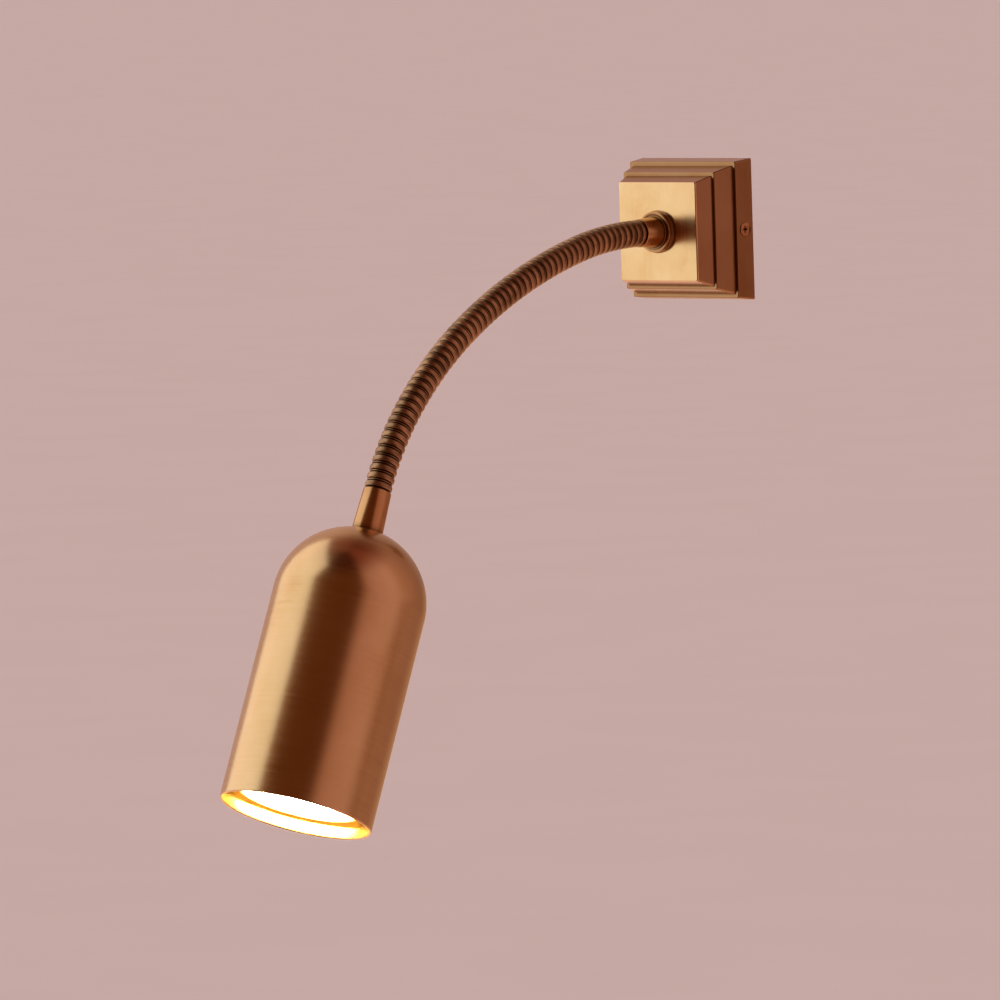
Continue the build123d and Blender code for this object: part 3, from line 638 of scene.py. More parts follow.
# ---------------------------------------------------------------- the rose
@dataclass
class Rose:
    """The square cover in three flared tiers, with its side screws."""

    body: str = "rose"
    # (half width, depth) up the outside of the three tiers
    back_tier: tuple[Point2, Point2] = ((29.3, 0.0), (28.2, 9.2))
    mid_tier: tuple[Point2, Point2] = ((26.5, 9.2), (24.2, 18.3))
    front_tier: tuple[Point2, Point2] = ((22.8, 18.3), (20.5, 26.2))
    wall: float = 1.6
    face_wall: float = 2.0
    edge_round: float = 0.4
    mid_cove: float = 0.6
    front_cove: float = 0.5
    corner_round: float = 0.7
    corner_steps: int = 4
    edge_steps: int = 4
    inner_corner: float = 0.3
    # a ring's points are a square's with corners this round, as a share, so that they spread out
    ring_spread: float = 0.45
    # flats are the faces above this area in mm2, and stay flat within this angle in degrees
    flat_area: float = 40.0
    flat_spread: float = 0.3
    crisp_above: float = 28.0
    nipple_hole: float = 5.2
    face_ring: float = 3.0
    # the side screws: where they sit, and the countersink that is cut for them
    screw_seat: float = 28.76
    screw_depth: float = 4.5
    screw_head: float = 2.86
    screw_shank: float = 1.7
    screw_cone: float = 1.7
    screw_rim: float = 0.35
    screw_land: float = 0.15
    screw_flare: float = 0.1
    hole_reach: float = 4.0
    cutter_reach: float = 2.0
    cutter_segments: int = 48

    def square(self, half: float, depth: float, corner: float) -> list[Vector]:
        """A rounded square round the rose's axis.

        Args:
            half: half its width.
            depth: how far out from the wall it stands.
            corner: the radius of its corners.

        Returns:
            Its points, the same count for every size.
        """
        points = []
        for quarter in range(4):
            middle = math.radians(45 + 90 * quarter)
            inset = (half - corner) * math.sqrt(2)
            for k in range(self.corner_steps + 1):
                angle = middle + math.radians(90) * (k / self.corner_steps - 0.5)
                x = inset * math.cos(middle) + corner * math.cos(angle)
                z = inset * math.sin(middle) + corner * math.sin(angle)
                points.append(Vector((x * MM, -depth * MM, z * MM)))
        return points

    def ring(self, radius: float, depth: float) -> list[Vector]:
        """A circle with as many points as a square, at matching angles.

        Args:
            radius: its radius.
            depth: how far out from the wall it stands.

        Returns:
            Its points.
        """
        points = []
        for place in self.square(radius, depth, self.ring_spread * radius):
            away = Vector((place.x, 0.0, place.z)).normalized() * radius * MM
            points.append(Vector((away.x, -depth * MM, away.z)))
        return points

    def shell(self) -> bpy.types.Object:
        """Build the cover: outside tiers, face, nipple hole and the hollow behind.

        Returns:
            The cover.
        """
        corners = [*self.back_tier, *self.mid_tier, *self.front_tier]
        rounds = [0.0, self.edge_round, self.mid_cove, self.edge_round, self.front_cove, 0.0]
        outside = rounded(corners, rounds, steps=8)
        loops = [self.square(half, depth, self.corner_round) for half, depth in outside[:-1]]
        face_half, face_depth = self.front_tier[1]
        soft = self.edge_round
        for k in range(self.edge_steps + 1):
            angle = math.radians(90 * k / self.edge_steps)
            half = face_half - soft + soft * math.cos(angle)
            loops.append(self.square(half, face_depth - soft + soft * math.sin(angle), self.corner_round))
        loops.append(self.ring(self.nipple_hole + self.face_ring, face_depth))
        loops.append(self.ring(self.nipple_hole, face_depth))
        inner_face = face_depth - self.face_wall
        loops.append(self.ring(self.nipple_hole, inner_face))
        inside = [
            (self.front_tier[1][0] - self.wall, inner_face),
            (self.front_tier[0][0] - self.wall, self.mid_tier[1][1] - self.wall),
            (self.mid_tier[1][0] - self.wall, self.mid_tier[1][1] - self.wall),
            (self.mid_tier[0][0] - self.wall, self.back_tier[1][1] - self.wall),
            (self.back_tier[1][0] - self.wall, self.back_tier[1][1] - self.wall),
            (self.back_tier[0][0] - self.wall, 0.0),
        ]
        loops += [self.square(half, depth, self.inner_corner) for half, depth in inside]
        build = bmesh.new()
        skin(build, loops, closed=True)
        cover = mesh_object("cover_shell", build, smooth_below=self.crisp_above)
        for side in (1, -1):
            self.countersink(cover, side)
        self.crisp_flats(cover.data)
        return cover

    def countersink(self, cover: bpy.types.Object, side: int) -> None:
        """Cut one screw's countersunk hole through the cover's side.

        Args:
            cover: the shell to cut.
            side: 1 for the right side, -1 for the left.
        """
        seat = self.screw_seat
        rim = self.screw_head + self.screw_rim
        profile = [
            (self.screw_shank, -self.hole_reach),
            (self.screw_shank, -self.screw_cone),
            (self.screw_head, -self.screw_land),
            (rim, self.screw_flare),
            (rim, self.cutter_reach),
        ]
        build = bmesh.new()
        loops = []
        for radius, out in profile:
            loop = []
            for k in range(self.cutter_segments):
                angle = 2 * math.pi * k / self.cutter_segments
                depth = self.screw_depth + radius * math.cos(angle)
                loop.append(Vector((side * (seat + out) * MM, -depth * MM, radius * math.sin(angle) * MM)))
            loops.append(loop)
        skin(build, loops)
        bmesh.ops.holes_fill(build, edges=build.edges, sides=0)
        cutter = mesh_object("screw_cutter", build)
        cut = cover.modifiers.new("countersink", "BOOLEAN")
        cut.operation = "DIFFERENCE"
        cut.solver = "EXACT"
        cut.object = cutter
        graph = bpy.context.evaluated_depsgraph_get()
        done = bpy.data.meshes.new_from_object(cover.evaluated_get(graph))
        cover.modifiers.clear()
        old = cover.data
        cover.data = done
        bpy.data.meshes.remove(old)
        bpy.data.objects.remove(cutter)

    def crisp_flats(self, mesh: bpy.types.Mesh) -> None:
        """Part the flat sides from the soft edges round them, so that the flats shade flat.

        Args:
            mesh: the cover's mesh.
        """
        mesh.set_sharp_from_angle(angle=math.radians(self.crisp_above))
        flats = [face.normal.copy() for face in mesh.polygons if face.area > self.flat_area * MM**2]
        limit = math.cos(math.radians(self.flat_spread))
        count: dict[tuple[int, int], int] = {}
        for face in mesh.polygons:
            if any(face.normal.dot(flat) > limit for flat in flats):
                for key in face.edge_keys:
                    count[key] = count.get(key, 0) + 1
        for edge in mesh.edges:
            if count.get(edge.key) == 1:
                edge.use_edge_sharp = True

    def build(self, brass: bpy.types.Material, screw: bpy.types.Material) -> None:
        """Build and dress the cover and its screws.

        Args:
            brass: the cover's finish.
            screw: the screws' finish.
        """
        cover = self.shell()
        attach(cover, self.body)
        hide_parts("rose_cover")
        dress(cover, brass)
        dress(bpy.data.objects["cover_screws"], screw)
        log.info("rose: cover_shell for rose_cover, cover_screws dressed")


# ---------------------------------------------------------------- ferrules and collar
@dataclass
class NeckEnds:
    """The collar and flanged ferrule on the rose, and the long ferrule on the shade."""

    line: NeckLine = field(default_factory=NeckLine)
    cover_depth: float = 26.2
    collar_radius: float = 8.5
    collar_foot: float = 8.9
    collar_thickness: float = 1.4
    collar_groove: float = 0.35
    flange: float = 1.5
    flange_dish: float = 0.3
    base_length: float = 10.2
    shade_length: float = 17.5
    base_radius: float = 6.4
    tip_radius: float = 5.75
    bore: float = 4.94
    neck_socket: float = 6.0
    nipple_hole: float = 5.2
    edge: float = 0.45

    def collar(self) -> bpy.types.Object:
        """The round ring that stands on the cover's face.

        Returns:
            The ring.
        """
        front = self.collar_thickness
        waist = self.collar_radius - self.collar_groove
        profile = rounded(
            [
                (self.nipple_hole, 0.0),
                (self.collar_foot, 0.0),
                (self.collar_foot, 0.35 * front),
                (waist, 0.55 * front),
                (self.collar_radius, 0.75 * front),
                (waist, front),
                (self.nipple_hole, front),
            ],
            [0.0, 0.0, 0.2, 0.2, 0.15, 0.1, 0.0],
        )
        return Spindle(-self.cover_depth, 0.0, 0.0).lathe("collar_turned", profile)

    def base(self) -> bpy.types.Object:
        """The flanged ferrule, tapered from the collar to the neck.

        Returns:
            The ferrule.
        """
        back = self.collar_thickness
        total = self.flange + self.base_length
        lip = self.collar_radius - 2 * self.edge
        profile = rounded(
            [
                (self.nipple_hole, 0.0),
                (self.collar_radius - self.collar_groove, 0.0),
                (self.collar_radius, 0.3 * self.flange),
                (self.collar_radius, self.flange),
                (lip, self.flange),
                (self.base_radius, self.flange - self.flange_dish),
                (self.tip_radius, total),
                (self.bore, total),
                (self.bore, total - self.neck_socket),
                (self.nipple_hole, total - self.neck_socket),
            ],
            [0.0, 0.1, 0.3, 0.35, 0.3, 0.4, 0.35, 0.1, 0.0, 0.0],
        )
        return Spindle(-self.cover_depth - back, 0.0, 0.0).lathe("base_ferrule_turned", profile)

    def shade_end(self) -> bpy.types.Object:
        """The long ferrule between the neck's tip and the shade.

        Returns:
            The ferrule.
        """
        end = self.line.at(self.line.length)
        total = self.shade_length
        profile = rounded(
            [
                (self.bore, 0.0),
                (self.tip_radius, 0.0),
                (self.base_radius, total),
                (self.nipple_hole, total),
                (self.nipple_hole, self.neck_socket),
                (self.bore, self.neck_socket),
            ],
            [0.1, 0.35, 0.12, 0.0, 0.0, 0.0],
        )
        return end.lathe("shade_ferrule_turned", profile)

    def build(self, brass: bpy.types.Material, tilted: bpy.types.Material) -> None:
        """Build and dress the three turned pieces.

        Args:
            brass: the finish of the pieces on the rose.
            tilted: the same finish turned onto the shade's axis.
        """
        for piece, node, body, finish in (
            (self.collar(), "collar_ring", "rose", brass),
            (self.base(), "base_ferrule", "rose", brass),
            (self.shade_end(), "shade_ferrule", "shade", tilted),
        ):
            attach(piece, body)
            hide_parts(node)
            dress(piece, finish)
            log.info("neck ends: %s for %s", piece.name, node)


# ---------------------------------------------------------------- gooseneck
@dataclass
class Gooseneck:
    """The wound neck: rounded ribs, a thin second wire in each groove, and the flex inside."""

    line: NeckLine = field(default_factory=NeckLine)
    crest: float = 5.6
    root: float = 4.70
    rib_width: float = 2.5
    wire_radius: float = 0.28
    wire_crest: float = 5.2
    bore: float = 3.4
    socket: float = 5.0
    liner: float = 4.62
    liner_reach: float = 0.95
    liner_play: float = 0.12
    # from its mouth a run's bore is wide as far as lap_face, for the liner before it, and narrow from lap
    lap: float = 1.6
    lap_face: float = 1.4
    rib_fullness: float = 4.2
    rib_steps: int = 11
    wire_steps: int = 5
    flex_radius: float = 2.5
    # the flex runs from this far out from the wall to this far past the neck's tip
    flex_from: float = 14.5
    flex_past: float = 28.5
    flex_step: float = 4.0
    flex_segments: int = 20

    def rib(self, middle: float) -> list[Point2]:
        """The outline of one rib: a bead with full shoulders and a soft crown.

        Args:
            middle: the rib's place along the neck.

        Returns:
            Points of (radius, distance along the neck).
        """
        points = []
        for k in range(self.rib_steps + 1):
            t = 2 * k / self.rib_steps - 1
            bulge = (1 - abs(t) ** self.rib_fullness) ** 0.5
            points.append((self.root + (self.crest - self.root) * bulge, middle + t * self.rib_width / 2))
        return points

    def wire(self, middle: float) -> list[Point2]:
        """The outline of the thin wire that lies in a groove.

        Args:
            middle: the groove's place along the neck.

        Returns:
            Points of (radius, distance along the neck).
        """
        points = []
        for k in range(self.wire_steps + 1):
            angle = math.pi * (1 - k / self.wire_steps)
            points.append(
                (
                    self.wire_crest - self.wire_radius * (1 - math.sin(angle)),
                    middle + self.wire_radius * math.cos(angle),
                )
            )
        floor = self.root
        return [(floor, points[0][1]), *points[1:-1], (floor, points[-1][1])]

    def run(self, name: str, first: int, count: int, before: float, after: float) -> bpy.types.Object:
        """Build one run of ribs with the liner that reaches under the next run.

        Args:
            name: the object's name.
            first: the number of its first rib.
            count: how many ribs it has.
            before: plain length in front of the first rib, 0 where another run ends there.
            after: plain length behind the last rib, 0 where another run starts there.

        Returns:
            The run of ribs.
        """
        pitch = self.line.rib_pitch
        start = first * pitch
        end = start + count * pitch
        outside: list[Point2] = []
        if before:
            outside += [(self.root, start - before)]
        for k in range(count):
            middle = start + (k + 0.5) * pitch
            outside += self.rib(middle)
            if k < count - 1:
                outside += self.wire(middle + pitch / 2)
        if after:
            outside += [(self.root, end + after)]
            inside = [(self.bore, end + after)]
        else:
            reach = end + self.liner_reach
            wire = [(r, s) for r, s in self.wire(end) if r > self.root]
            outside += [(self.liner, end - pitch / 2 + self.rib_width / 2), *wire]
            outside += [(self.liner, end + self.wire_radius), (self.liner, reach)]
            inside = [(self.bore, reach)]
        if before:
            inside += [(self.bore, start - before)]
        else:
            hollow = self.liner + self.liner_play
            mouth = start + pitch / 2 - self.rib_width / 2
            inside += [(self.bore, mouth + self.lap), (hollow, mouth + self.lap_face), (hollow, mouth)]
        return self.line.sleeve(name, outside + inside)

    def flex(self, name: str, start: float, end: float) -> bpy.types.Object:
        """Build a stretch of the flex inside the neck, closed at both ends.

        Args:
            name: the object's name.
            start: where it starts along the neck.
            end: where it ends along the neck.

        Returns:
            The stretch of flex.
        """
        steps = max(2, round((end - start) / self.flex_step))
        places = [self.line.at(start + (end - start) * k / steps) for k in range(steps + 1)]
        loops = [spindle.loop(self.flex_radius, self.flex_segments) for spindle in places]
        build = bmesh.new()
        skin(build, loops)
        bmesh.ops.holes_fill(build, edges=build.edges, sides=0)
        return mesh_object(name, build)

    def build(self, metal: bpy.types.Material, sheath: bpy.types.Material) -> None:
        """Build and dress every run of the neck and the flex inside it.

        Args:
            metal: the winding's finish.
            sheath: the flex's finish.
        """
        line = self.line
        pitch = line.rib_pitch
        runs = [("neck_root", "rose", 0, line.root_ribs, self.socket, 0.0)]
        for link in range(1, line.links + 1):
            first = line.root_ribs + (link - 1) * line.link_ribs
            runs.append((f"neck_link_{link:02d}", f"link_{link:02d}", first, line.link_ribs, 0.0, 0.0))
        runs.append(("neck_tip", "shade", line.ribs - line.tip_ribs, line.tip_ribs, 0.0, self.socket))
        for node, body, first, count, before, after in runs:
            piece = self.run(f"{node}_winding", first, count, before, after)
            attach(piece, body)
            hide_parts(node)
            dress(piece, metal)
            start = first * pitch - (line.start - self.flex_from if before else 0.0)
            end = (first + count) * pitch + (self.flex_past if after else 0.0)
            flex = self.flex(f"{node}_flex", start, end)
            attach(flex, body)
            dress(flex, sheath)
        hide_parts("neck_flex")
        log.info("gooseneck: %d runs of winding and of flex", len(runs))


# ---------------------------------------------------------------- shade and lamp
@dataclass
class Shade:
    """The bullet shade: a straight tube under a round dome, with a flat seat for the ferrule."""

    line: NeckLine = field(default_factory=NeckLine)
    ferrule: float = 17.5
    radius: float = 31.0
    length: float = 119.5
    wall: float = 1.2
    seat: float = 6.6
    top_thickness: float = 2.4
    hole: float = 5.2
    seat_edge: float = 0.4
    rim_steps: int = 8
    dome_steps: int = 40

    @property
    def spindle(self) -> Spindle:
        """The shade's axis from its top."""
        return self.line.at(self.line.length + self.ferrule)

    def outline(self) -> list[Point2]:
        """The closed section of the shade's wall, from the hole over the dome to the rim and back.

        Returns:
            Points of (radius, distance from the shade's top).
        """
        centre = math.sqrt(self.radius**2 - self.seat**2)
        inner = self.radius - self.wall
        first = math.atan2(centre, self.seat)
        points = [(self.hole, 0.0), (self.seat - self.seat_edge, 0.0)]
        for k in range(self.dome_steps + 1):
            angle = first * (1 - k / self.dome_steps)
            points.append((self.radius * math.cos(angle), centre - self.radius * math.sin(angle)))
        rim_middle = self.radius - self.wall / 2
        # the rim's first ring is laid twice, which keeps its soft shading off the straight side
        points.append((self.radius, self.length - self.wall / 2))
        for k in range(self.rim_steps + 1):
            angle = math.pi * k / self.rim_steps
            across = rim_middle + self.wall / 2 * math.cos(angle)
            points.append((across, self.length - self.wall / 2 + self.wall / 2 * math.sin(angle)))
        last = math.asin((centre - self.top_thickness) / inner)
        for k in range(self.dome_steps + 1):
            angle = last * k / self.dome_steps
            points.append((inner * math.cos(angle), centre - inner * math.sin(angle)))
        points.append((self.hole, self.top_thickness))
        return points

    def build(self, brass: bpy.types.Material) -> None:
        """Build and dress the shade.

        Args:
            brass: the shade's finish.
        """
        piece = self.spindle.lathe("shade_spun", self.outline(), segments=192)
        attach(piece, "shade")
        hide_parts("shade")
        dress(piece, brass)
        log.info("shade: shade_spun for shade")


@dataclass
class Lamp:
    """The reflector lamp: a lit frosted face in a white ring."""

    shade: Shade = field(default_factory=Shade)
    face: float = 113.8
    lens_radius: float = 23.25
    lens_thickness: float = 1.6
    crown: float = 0.35
    # the profile stays this clear of the axis
    hub: float = 0.05
    segments: int = 96

    def lens(self) -> bpy.types.Object:
        """The frosted face, its edge rounded and its front very slightly crowned.

        Returns:
            The lens.
        """
        profile = rounded(
            [
                (self.hub, self.face - self.lens_thickness),
                (self.lens_radius, self.face - self.lens_thickness),
                (self.lens_radius, self.face - self.crown),
                (0.6 * self.lens_radius, self.face - 0.1 * self.crown),
                (self.hub, self.face),
            ],
            [0.0, 0.2, 0.4, 30.0, 0.0],
        )
        build = bmesh.new()
        skin(build, [self.shade.spindle.loop(radius, self.segments, along) for radius, along in profile])
        bmesh.ops.holes_fill(build, edges=build.edges, sides=0)
        return mesh_object("lens_frosted", build)

    def build(
        self, lit: bpy.types.Material, ring: bpy.types.Material, bowl: bpy.types.Material
    ) -> bpy.types.Object:
        """Build and dress the lamp's face, the ring round it and the bowl behind.

        Args:
            lit: the glowing lens.
            ring: the ring round the face, with a painted glow.
            bowl: the lamp's white body.

        Returns:
            The lit lens.
        """
        piece = self.lens()
        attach(piece, "lamp")
        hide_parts("lamp_lens")
        dress(piece, lit)
        dress(bpy.data.objects["lamp_bezel"], ring)
        for node in ("lamp_bowl", "lamp_base"):
            dress(bpy.data.objects[node], bowl)
        log.info("lamp: lens_frosted for lamp_lens, ring and bowl dressed")
        return piece


# ---------------------------------------------------------------- what the rose and shade hold
@dataclass
class Fittings:
    """The carried-over pieces inside, each with the finish of the real one."""

    finishes: dict[str, str] = field(
        default_factory=lambda: {
            "zinc_plated_steel": (
                "wall_bracket earth_screw terminal_screws base_nipple base_lock_nut base_lock_washer "
                "shade_nipple shade_lock_nut shade_lock_washer lamp_hanger lampholder_screws"
            ),
            "bare_brass": "terminal_tubes earth_tag shade_earth_tag",
            "phosphor_bronze_strip": "contact_springs",
            "nickel_plate": "lamp_pins",
            "moulded_polyamide": "terminal_block",
            "glazed_steatite": "lampholder",
            "pvc_core_brown": "live_core lamp_live_core",
            "pvc_core_blue": "neutral_core lamp_neutral_core",
            "pvc_core_green_yellow": "earth_core shade_earth_core",
        }
    )

    def build(self, materials: dict[str, bpy.types.Material]) -> None:
        """Dress the carried-over nodes.

        Args:
            materials: the materials by name.
        """
        for name, nodes in self.finishes.items():
            for node in nodes.split():
                dress(bpy.data.objects[node], materials[name])
                log.info("fittings: %s in %s", node, name)


# ---------------------------------------------------------------- studio
@dataclass
class Softbox:
    """A soft rectangular light: angles in degrees from +X and from level, sizes in metres."""

    name: str = "key_left"
    bearing: float = -151.5
    rise: float = 26.0
    distance: float = 1.25
    width: float = 1.64
    height: float = 2.1
    radiance: float = 0.73
    colour: str = "#FFFAF6"

    def build(self, target: Vector) -> bpy.types.Object:
        """Hang the light so that it faces a point.

        Args:
            target: the point it faces, in metres.

        Returns:
            The light.
        """
        bearing, rise = math.radians(self.bearing), math.radians(self.rise)
        level = math.cos(rise)
        away = Vector((math.cos(bearing) * level, math.sin(bearing) * level, math.sin(rise)))
        light = bpy.data.lights.new(self.name, "AREA")
        light.shape = "RECTANGLE"
        light.size = self.width
        light.size_y = self.height
        light.energy = self.radiance * math.pi * self.width * self.height
        light.color = linear(self.colour)[:3]
        box = bpy.data.objects.new(self.name, light)
        box.location = target + away * self.distance
        box.rotation_euler = away.to_track_quat("Z", "Y").to_euler()
        box.visible_camera = False
        bpy.context.scene.collection.objects.link(box)
        return box


@dataclass
class Studio:
    """A pale floor, one soft key from the left, a dim pink room, and the camera: lengths in metres."""

    floor_height: float = -0.42
    floor_half: float = 60.0
    floor_tone: str = "#CFBFBD"
    floor_shade: str = "#CBBAB8"
    floor_clouds_per_metre: float = 9.0
    floor_light: float = 2.1
    floor_light_spread: float = 40.0
    floor_light_lean: tuple[float, float] = (-12.0, -18.0)
    # the middle of the lamp, which the key faces
    target: tuple[float, float, float] = (0.0, -0.14, -0.10)
    # angles in radians, lens and sensor in mm
    camera_place: tuple[float, float, float] = (2.62746, -3.21690, 0.18101)
    camera_yaw: float = 0.7055
    camera_pitch: float = -0.0701
    camera_roll: float = -0.0302
    camera_lens: float = 360.0
    camera_sensor: float = 36.0
    camera_reach: float = 200.0
    # the room's tones at eye level, by bearing in degrees from +X
    room_tones: tuple[tuple[float, str], ...] = (
        (-180.0, "#BF9A92"),
        (-122.0, "#A08A84"),
        (-109.0, "#7F4A30"),
        (-96.0, "#633417"),
        (-28.0, "#5E3119"),
        (-14.0, "#B77F72"),
        (5.0, "#BF8981"),
        (27.0, "#C89389"),
        (50.0, "#B17A6C"),
        (85.0, "#98685A"),
        (110.0, "#A07A70"),
        (136.0, "#C9A096"),
        (180.0, "#BF9A92"),
    )
    # the same just below eye level
    low_tones: tuple[tuple[float, str], ...] = (
        (-180.0, "#BF9A92"),
        (-122.0, "#A08A84"),
        (-109.0, "#7F4A30"),
        (-96.0, "#592E18"),
        (-28.0, "#592E18"),
        (-14.0, "#B77F72"),
        (20.0, "#B9857F"),
        (30.0, "#A87668"),
        (40.0, "#93624F"),
        (54.0, "#A57262"),
        (85.0, "#98685A"),
        (110.0, "#B48462"),
        (132.0, "#CCA08A"),
        (180.0, "#BF9A92"),
    )
    # heights are the upward part of a direction: -1 is straight down, 1 straight up
    eye_level: float = 0.03
    low_level: float = -0.06
    ground_start: float = -0.18
    ground_end: float = -0.34
    ground_gain: float = 1.95
    ceiling_start: float = 0.66
    ceiling_end: float = 0.98
    ceiling_tone: str = "#A57463"

    def floor(self) -> bpy.types.Object:
        """A plain pale floor, wide enough to fill the frame.

        Returns:
            The floor.
        """
        build = bmesh.new()
        half = self.floor_half
        corners = [(-half, -half), (half, -half), (half, half), (-half, half)]
        build.faces.new([build.verts.new((x, y, self.floor_height)) for x, y in corners])
        plane = mesh_object("floor", build)
        material = bpy.data.materials.new("painted_floor")
        tree = bare_tree(material)
        place = add_node(tree, "ShaderNodeTexCoord")
        drift = add_node(
            tree,
            "ShaderNodeTexNoise",
            inputs={"Scale": self.floor_clouds_per_metre, "Detail": 2.0},
            links={"Vector": place.outputs["Object"]},
        )
        tone = add_node(
            tree,
            "ShaderNodeMix",
            {"data_type": "RGBA"},
            {6: linear(self.floor_shade), 7: linear(self.floor_tone)},
            {0: drift.outputs["Fac"]},
        )
        shader = add_node(
            tree,
            "ShaderNodeBsdfPrincipled",
            inputs={"Roughness": 0.9, "Specular IOR Level": 0.1},
            links={"Base Color": tone.outputs[2]},
        )
        add_node(tree, "ShaderNodeOutputMaterial", links={"Surface": shader.outputs["BSDF"]})
        dress(plane, material)
        plane.visible_glossy = False
        return plane

    @staticmethod
    def tones_round(
        tree: bpy.types.NodeTree, share: bpy.types.NodeSocket, tones: Sequence[tuple[float, str]]
    ) -> bpy.types.NodeSocket:
        """A colour for each bearing round the room.

        Args:
            tree: the world's node tree.
            share: the bearing as a share of the whole turn.
            tones: bearings in degrees, in order, each with its sRGB hex colour.

        Returns:
            The colour socket.
        """
        node = add_node(tree, "ShaderNodeValToRGB", links={"Fac": share})
        ramp = node.color_ramp
        for stop, (degrees, tone) in zip((ramp.elements[0], ramp.elements[1]), (tones[0], tones[-1])):
            stop.position = degrees / 360 + 0.5
            stop.color = linear(tone)
        for degrees, tone in tones[1:-1]:
            ramp.elements.new(degrees / 360 + 0.5).color = linear(tone)
        return node.outputs["Color"]

    def world(self) -> None:
        """A dim room with a tone for each bearing, darker overhead and brighter underneath."""
        world = bpy.data.worlds.new("room")
        tree = bare_tree(world)
        way = add_node(tree, "ShaderNodeTexCoord")
        split = add_node(tree, "ShaderNodeSeparateXYZ", links={"Vector": way.outputs["Generated"]})
        bearing = add_node(
            tree,
            "ShaderNodeMath",
            {"operation": "ARCTAN2"},
            links={0: split.outputs["Y"], 1: split.outputs["X"]},
        )
        share = add_node(
            tree,
            "ShaderNodeMapRange",
            inputs={"From Min": -math.pi, "From Max": math.pi},
            links={"Value": bearing.outputs["Value"]},
        )
        low, ceiling, ground = (
            add_node(
                tree,
                "ShaderNodeMapRange",
                {"interpolation_type": "SMOOTHSTEP"},
                {"From Min": start, "From Max": end, "To Min": at_start, "To Max": at_end},
                {"Value": split.outputs["Z"]},
            ).outputs["Result"]
            for start, end, at_start, at_end in (
                (self.eye_level, self.low_level, 0.0, 1.0),
                (self.ceiling_start, self.ceiling_end, 0.0, 1.0),
                (self.ground_start, self.ground_end, 1.0, self.ground_gain),
            )
        )
        sides = add_node(
            tree,
            "ShaderNodeMix",
            {"data_type": "RGBA"},
            links={
                0: low,
                6: self.tones_round(tree, share.outputs["Result"], self.room_tones),
                7: self.tones_round(tree, share.outputs["Result"], self.low_tones),
            },
        )
        room = add_node(
            tree,
            "ShaderNodeMix",
            {"data_type": "RGBA", "blend_type": "MULTIPLY"},
            {7: linear(self.ceiling_tone)},
            {0: ceiling, 6: sides.outputs[2]},
        )
        glow = add_node(tree, "ShaderNodeBackground", links={"Color": room.outputs[2], "Strength": ground})
        add_node(tree, "ShaderNodeOutputWorld", links={"Surface": glow.outputs["Background"]})
        bpy.context.scene.world = world

    def lights(self, floor: bpy.types.Object, lens: bpy.types.Object) -> None:
        """The key on the left, and an even light for the floor, which the key and the lamp pass by.

        Args:
            floor: the floor, which stays plain.
            lens: the lit lens, which would burn a pool into it.
        """
        key = Softbox().build(Vector(self.target))
        skipped = bpy.data.collections.new("all_but_floor")
        skipped.objects.link(floor)
        for item in skipped.collection_objects:
            item.light_linking.link_state = "EXCLUDE"
        key.light_linking.receiver_collection = skipped
        lens.light_linking.receiver_collection = skipped
        sun = bpy.data.lights.new("floor_light", "SUN")
        sun.energy = self.floor_light
        sun.angle = math.radians(self.floor_light_spread)
        overhead = bpy.data.objects.new("floor_light", sun)
        overhead.rotation_euler = (*(math.radians(lean) for lean in self.floor_light_lean), 0)
        bpy.context.scene.collection.objects.link(overhead)
        only = bpy.data.collections.new("floor_only")
        only.objects.link(floor)
        overhead.light_linking.receiver_collection = only

    def camera(self) -> None:
        """The camera at the photograph's place and angle, with plain sRGB tones as the photograph has."""
        yaw, pitch, roll = self.camera_yaw, self.camera_pitch, self.camera_roll
        ahead = Vector((-math.sin(yaw) * math.cos(pitch), math.cos(yaw) * math.cos(pitch), math.sin(pitch)))
        right = Vector((math.cos(yaw), math.sin(yaw), 0.0))
        up = right.cross(ahead)
        tilted_right = right * math.cos(roll) + up * math.sin(roll)
        tilted_up = up * math.cos(roll) - right * math.sin(roll)
        data = bpy.data.cameras.new("camera")
        data.sensor_width = self.camera_sensor
        data.lens = self.camera_lens
        data.clip_end = self.camera_reach
        camera = bpy.data.objects.new("camera", data)
        axes = Matrix((tilted_right, tilted_up, -ahead)).transposed()
        camera.matrix_world = Matrix.Translation(self.camera_place) @ axes.to_4x4()
        bpy.context.scene.collection.objects.link(camera)
        bpy.context.scene.camera = camera
        bpy.context.scene.view_settings.view_transform = "Standard"

    def build(self, lens: bpy.types.Object) -> None:
        """Set the whole studio up.

        Args:
            lens: the lit lens.
        """
        floor = self.floor()
        self.world()
        self.lights(floor, lens)
        self.camera()
        log.info("studio: floor, world, lights and camera")


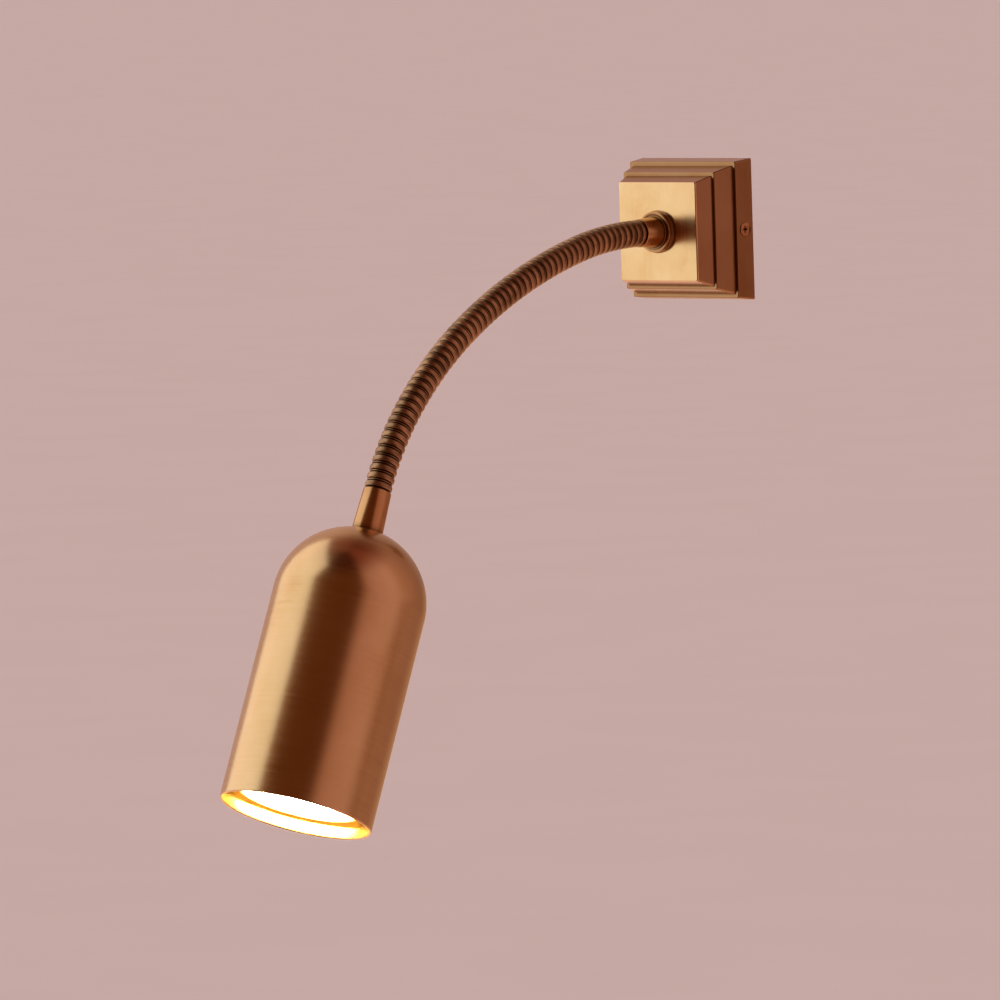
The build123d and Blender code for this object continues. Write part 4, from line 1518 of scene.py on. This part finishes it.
def brass_finishes(tilt: float) -> dict[str, bpy.types.Material]:
    """Build the brass of each outside piece, brushed round its own spindle or up and down on the cover.

    Args:
        tilt: the shade's lean from upright, in radians.

    Returns:
        The materials by the piece they are for.
    """
    # The ferrules and the collar are turned, and toned a shade deeper than the plate behind them.
    deeper = {"light": "#D4B07E", "mid": "#CCA673", "dark": "#C19663"}
    finishes = {
        # The cover is brushed up and down: only its front face is buffed, the tiers keep their toning.
        "cover": AgedBrass(
            "brushed_lacquered_brass_cover",
            grain=Grain.UPRIGHT,
            line_pitch=0.5,
            line_length=18.0,
            line_tone=0.4,
            line_depth=0.006,
            roughness=0.20,
            # painted shade darkens the inner corners between the tiers
            own_corners=True,
            painted_shade_reach=1.1,
            painted_shade_to=0.9,
            buffed_from=25.5,
        ),
        "turned": AgedBrass("turned_toned_brass", turn=math.pi / 2, **deeper),
        "tilted": AgedBrass("turned_toned_brass_tilted", turn=-tilt, **deeper),
        # The shade is spun: long lines round it, the coarsest of all so that they show on so large a piece.
        "shade": AgedBrass(
            "spun_lacquered_brass",
            light="#E0C696",
            mid="#D9BD89",
            dark="#D0AC76",
            roughness=0.23,
            turn=-tilt,
            line_tone=0.4,
            line_depth=0.007,
            line_pitch=0.7,
            line_length=40.0,
            cloud_size=30.0,
        ),
        # The winding is brass strip rolled over steel: browner, with painted shade that darkens its
        # grooves.
        "winding": AgedBrass(
            "wound_toned_brass",
            light="#CDAE87",
            mid="#B29570",
            dark="#8C7354",
            corner="#120A06",
            painted_shade_reach=1.3,
            painted_shade_from=0.45,
            painted_shade_to=0.9,
            roughness=0.36,
            line_pitch=0.3,
            line_length=6.0,
            cloud_size=9.0,
        ),
    }
    return {piece: finish.build() for piece, finish in finishes.items()}


def plain_finishes() -> dict[str, bpy.types.Material]:
    """Build the finishes of the screws and of all that is inside.

    Returns:
        The materials by name.
    """
    finishes = (
        # Zinc plate on pressed steel: cool grey with a faint crystal mottle.
        PlainMetal("zinc_plated_steel", "#C9CBC8", "#A4A7A4", 0.36, 1.2),
        # Bare turned brass: yellower and brighter than the lacquered outside.
        PlainMetal("bare_brass", "#E2C078", "#BF9850", 0.28, 0.8),
        # Toned brass screws: browner than the cover, with painted shade that darkens the cross recess to
        # black.
        AgedBrass(
            "toned_brass_screw",
            light="#E0B488",
            mid="#D2A274",
            dark="#BC8B60",
            corner="#100502",
            painted_shade_reach=1.2,
            painted_shade_from=0.55,
            painted_shade_to=0.9,
            own_corners=True,
            roughness=0.30,
            line_length=4.0,
            cloud_size=3.0,
        ),
        # Phosphor bronze strip: a pinkish spring metal, rolled smooth.
        PlainMetal("phosphor_bronze_strip", "#D39E74", "#A97450", 0.25, 0.6),
        # Nickel plate on the lamp's pins: bright and slightly warm.
        PlainMetal("nickel_plate", "#D8D5CC", "#B5B1A6", 0.2, 0.5),
        # Moulded polyamide: off-white, dull, with a faint flow mottle.
        Moulded("moulded_polyamide", "#E6E0CF", "#D2CAB5", 0.5, 2.0),
        # Glazed steatite: cream ceramic with a glassy skin.
        Moulded("glazed_steatite", "#EFE9DC", "#DDD4C2", 0.18, 3.0),
        # Moulded polycarbonate of the lamp's body: white, half-gloss.
        Moulded("moulded_polycarbonate", "#F2F0EB", "#E2DFD8", 0.35, 2.0),
        # Extruded rubber of the flex: matt off-white.
        Moulded("extruded_rubber", "#DAD6CA", "#C3BEB0", 0.6, 1.0),
        # Extruded PVC of the cores, in their code colours.
        Moulded("pvc_core_brown", "#5B3418", "#472812", 0.4, 0.7),
        Moulded("pvc_core_blue", "#2F58A8", "#234587", 0.4, 0.7),
        Moulded("pvc_core_green_yellow", "#8FB33A", "#5C8B2B", 0.4, 1.2),
    )
    return {finish.name: finish.build() for finish in finishes}


def main() -> None:
    """Build every sub-assembly in order."""
    logging.basicConfig(level=logging.INFO, format="%(message)s")
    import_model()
    line = NeckLine()
    shade = Shade(line)
    brass = brass_finishes(tilt=math.pi / 2 - shade.spindle.heading)
    plain = plain_finishes()
    Rose().build(brass["cover"], plain["toned_brass_screw"])
    NeckEnds(line).build(brass["turned"], brass["tilted"])
    Gooseneck(line).build(brass["winding"], plain["extruded_rubber"])
    shade.build(brass["shade"])
    # The ring is the same polycarbonate as the body, with a painted amber glow for the light it catches.
    ring = LitLens("moulded_polycarbonate_painted_glow", tint="#F2E9D8", glow="#FFC04A", strength=0.8).build()
    lens = Lamp(shade).build(LitLens().build(), ring, plain["moulded_polycarbonate"])
    Fittings().build(plain)
    Studio().build(lens)


if __name__ == "__main__":
    main()
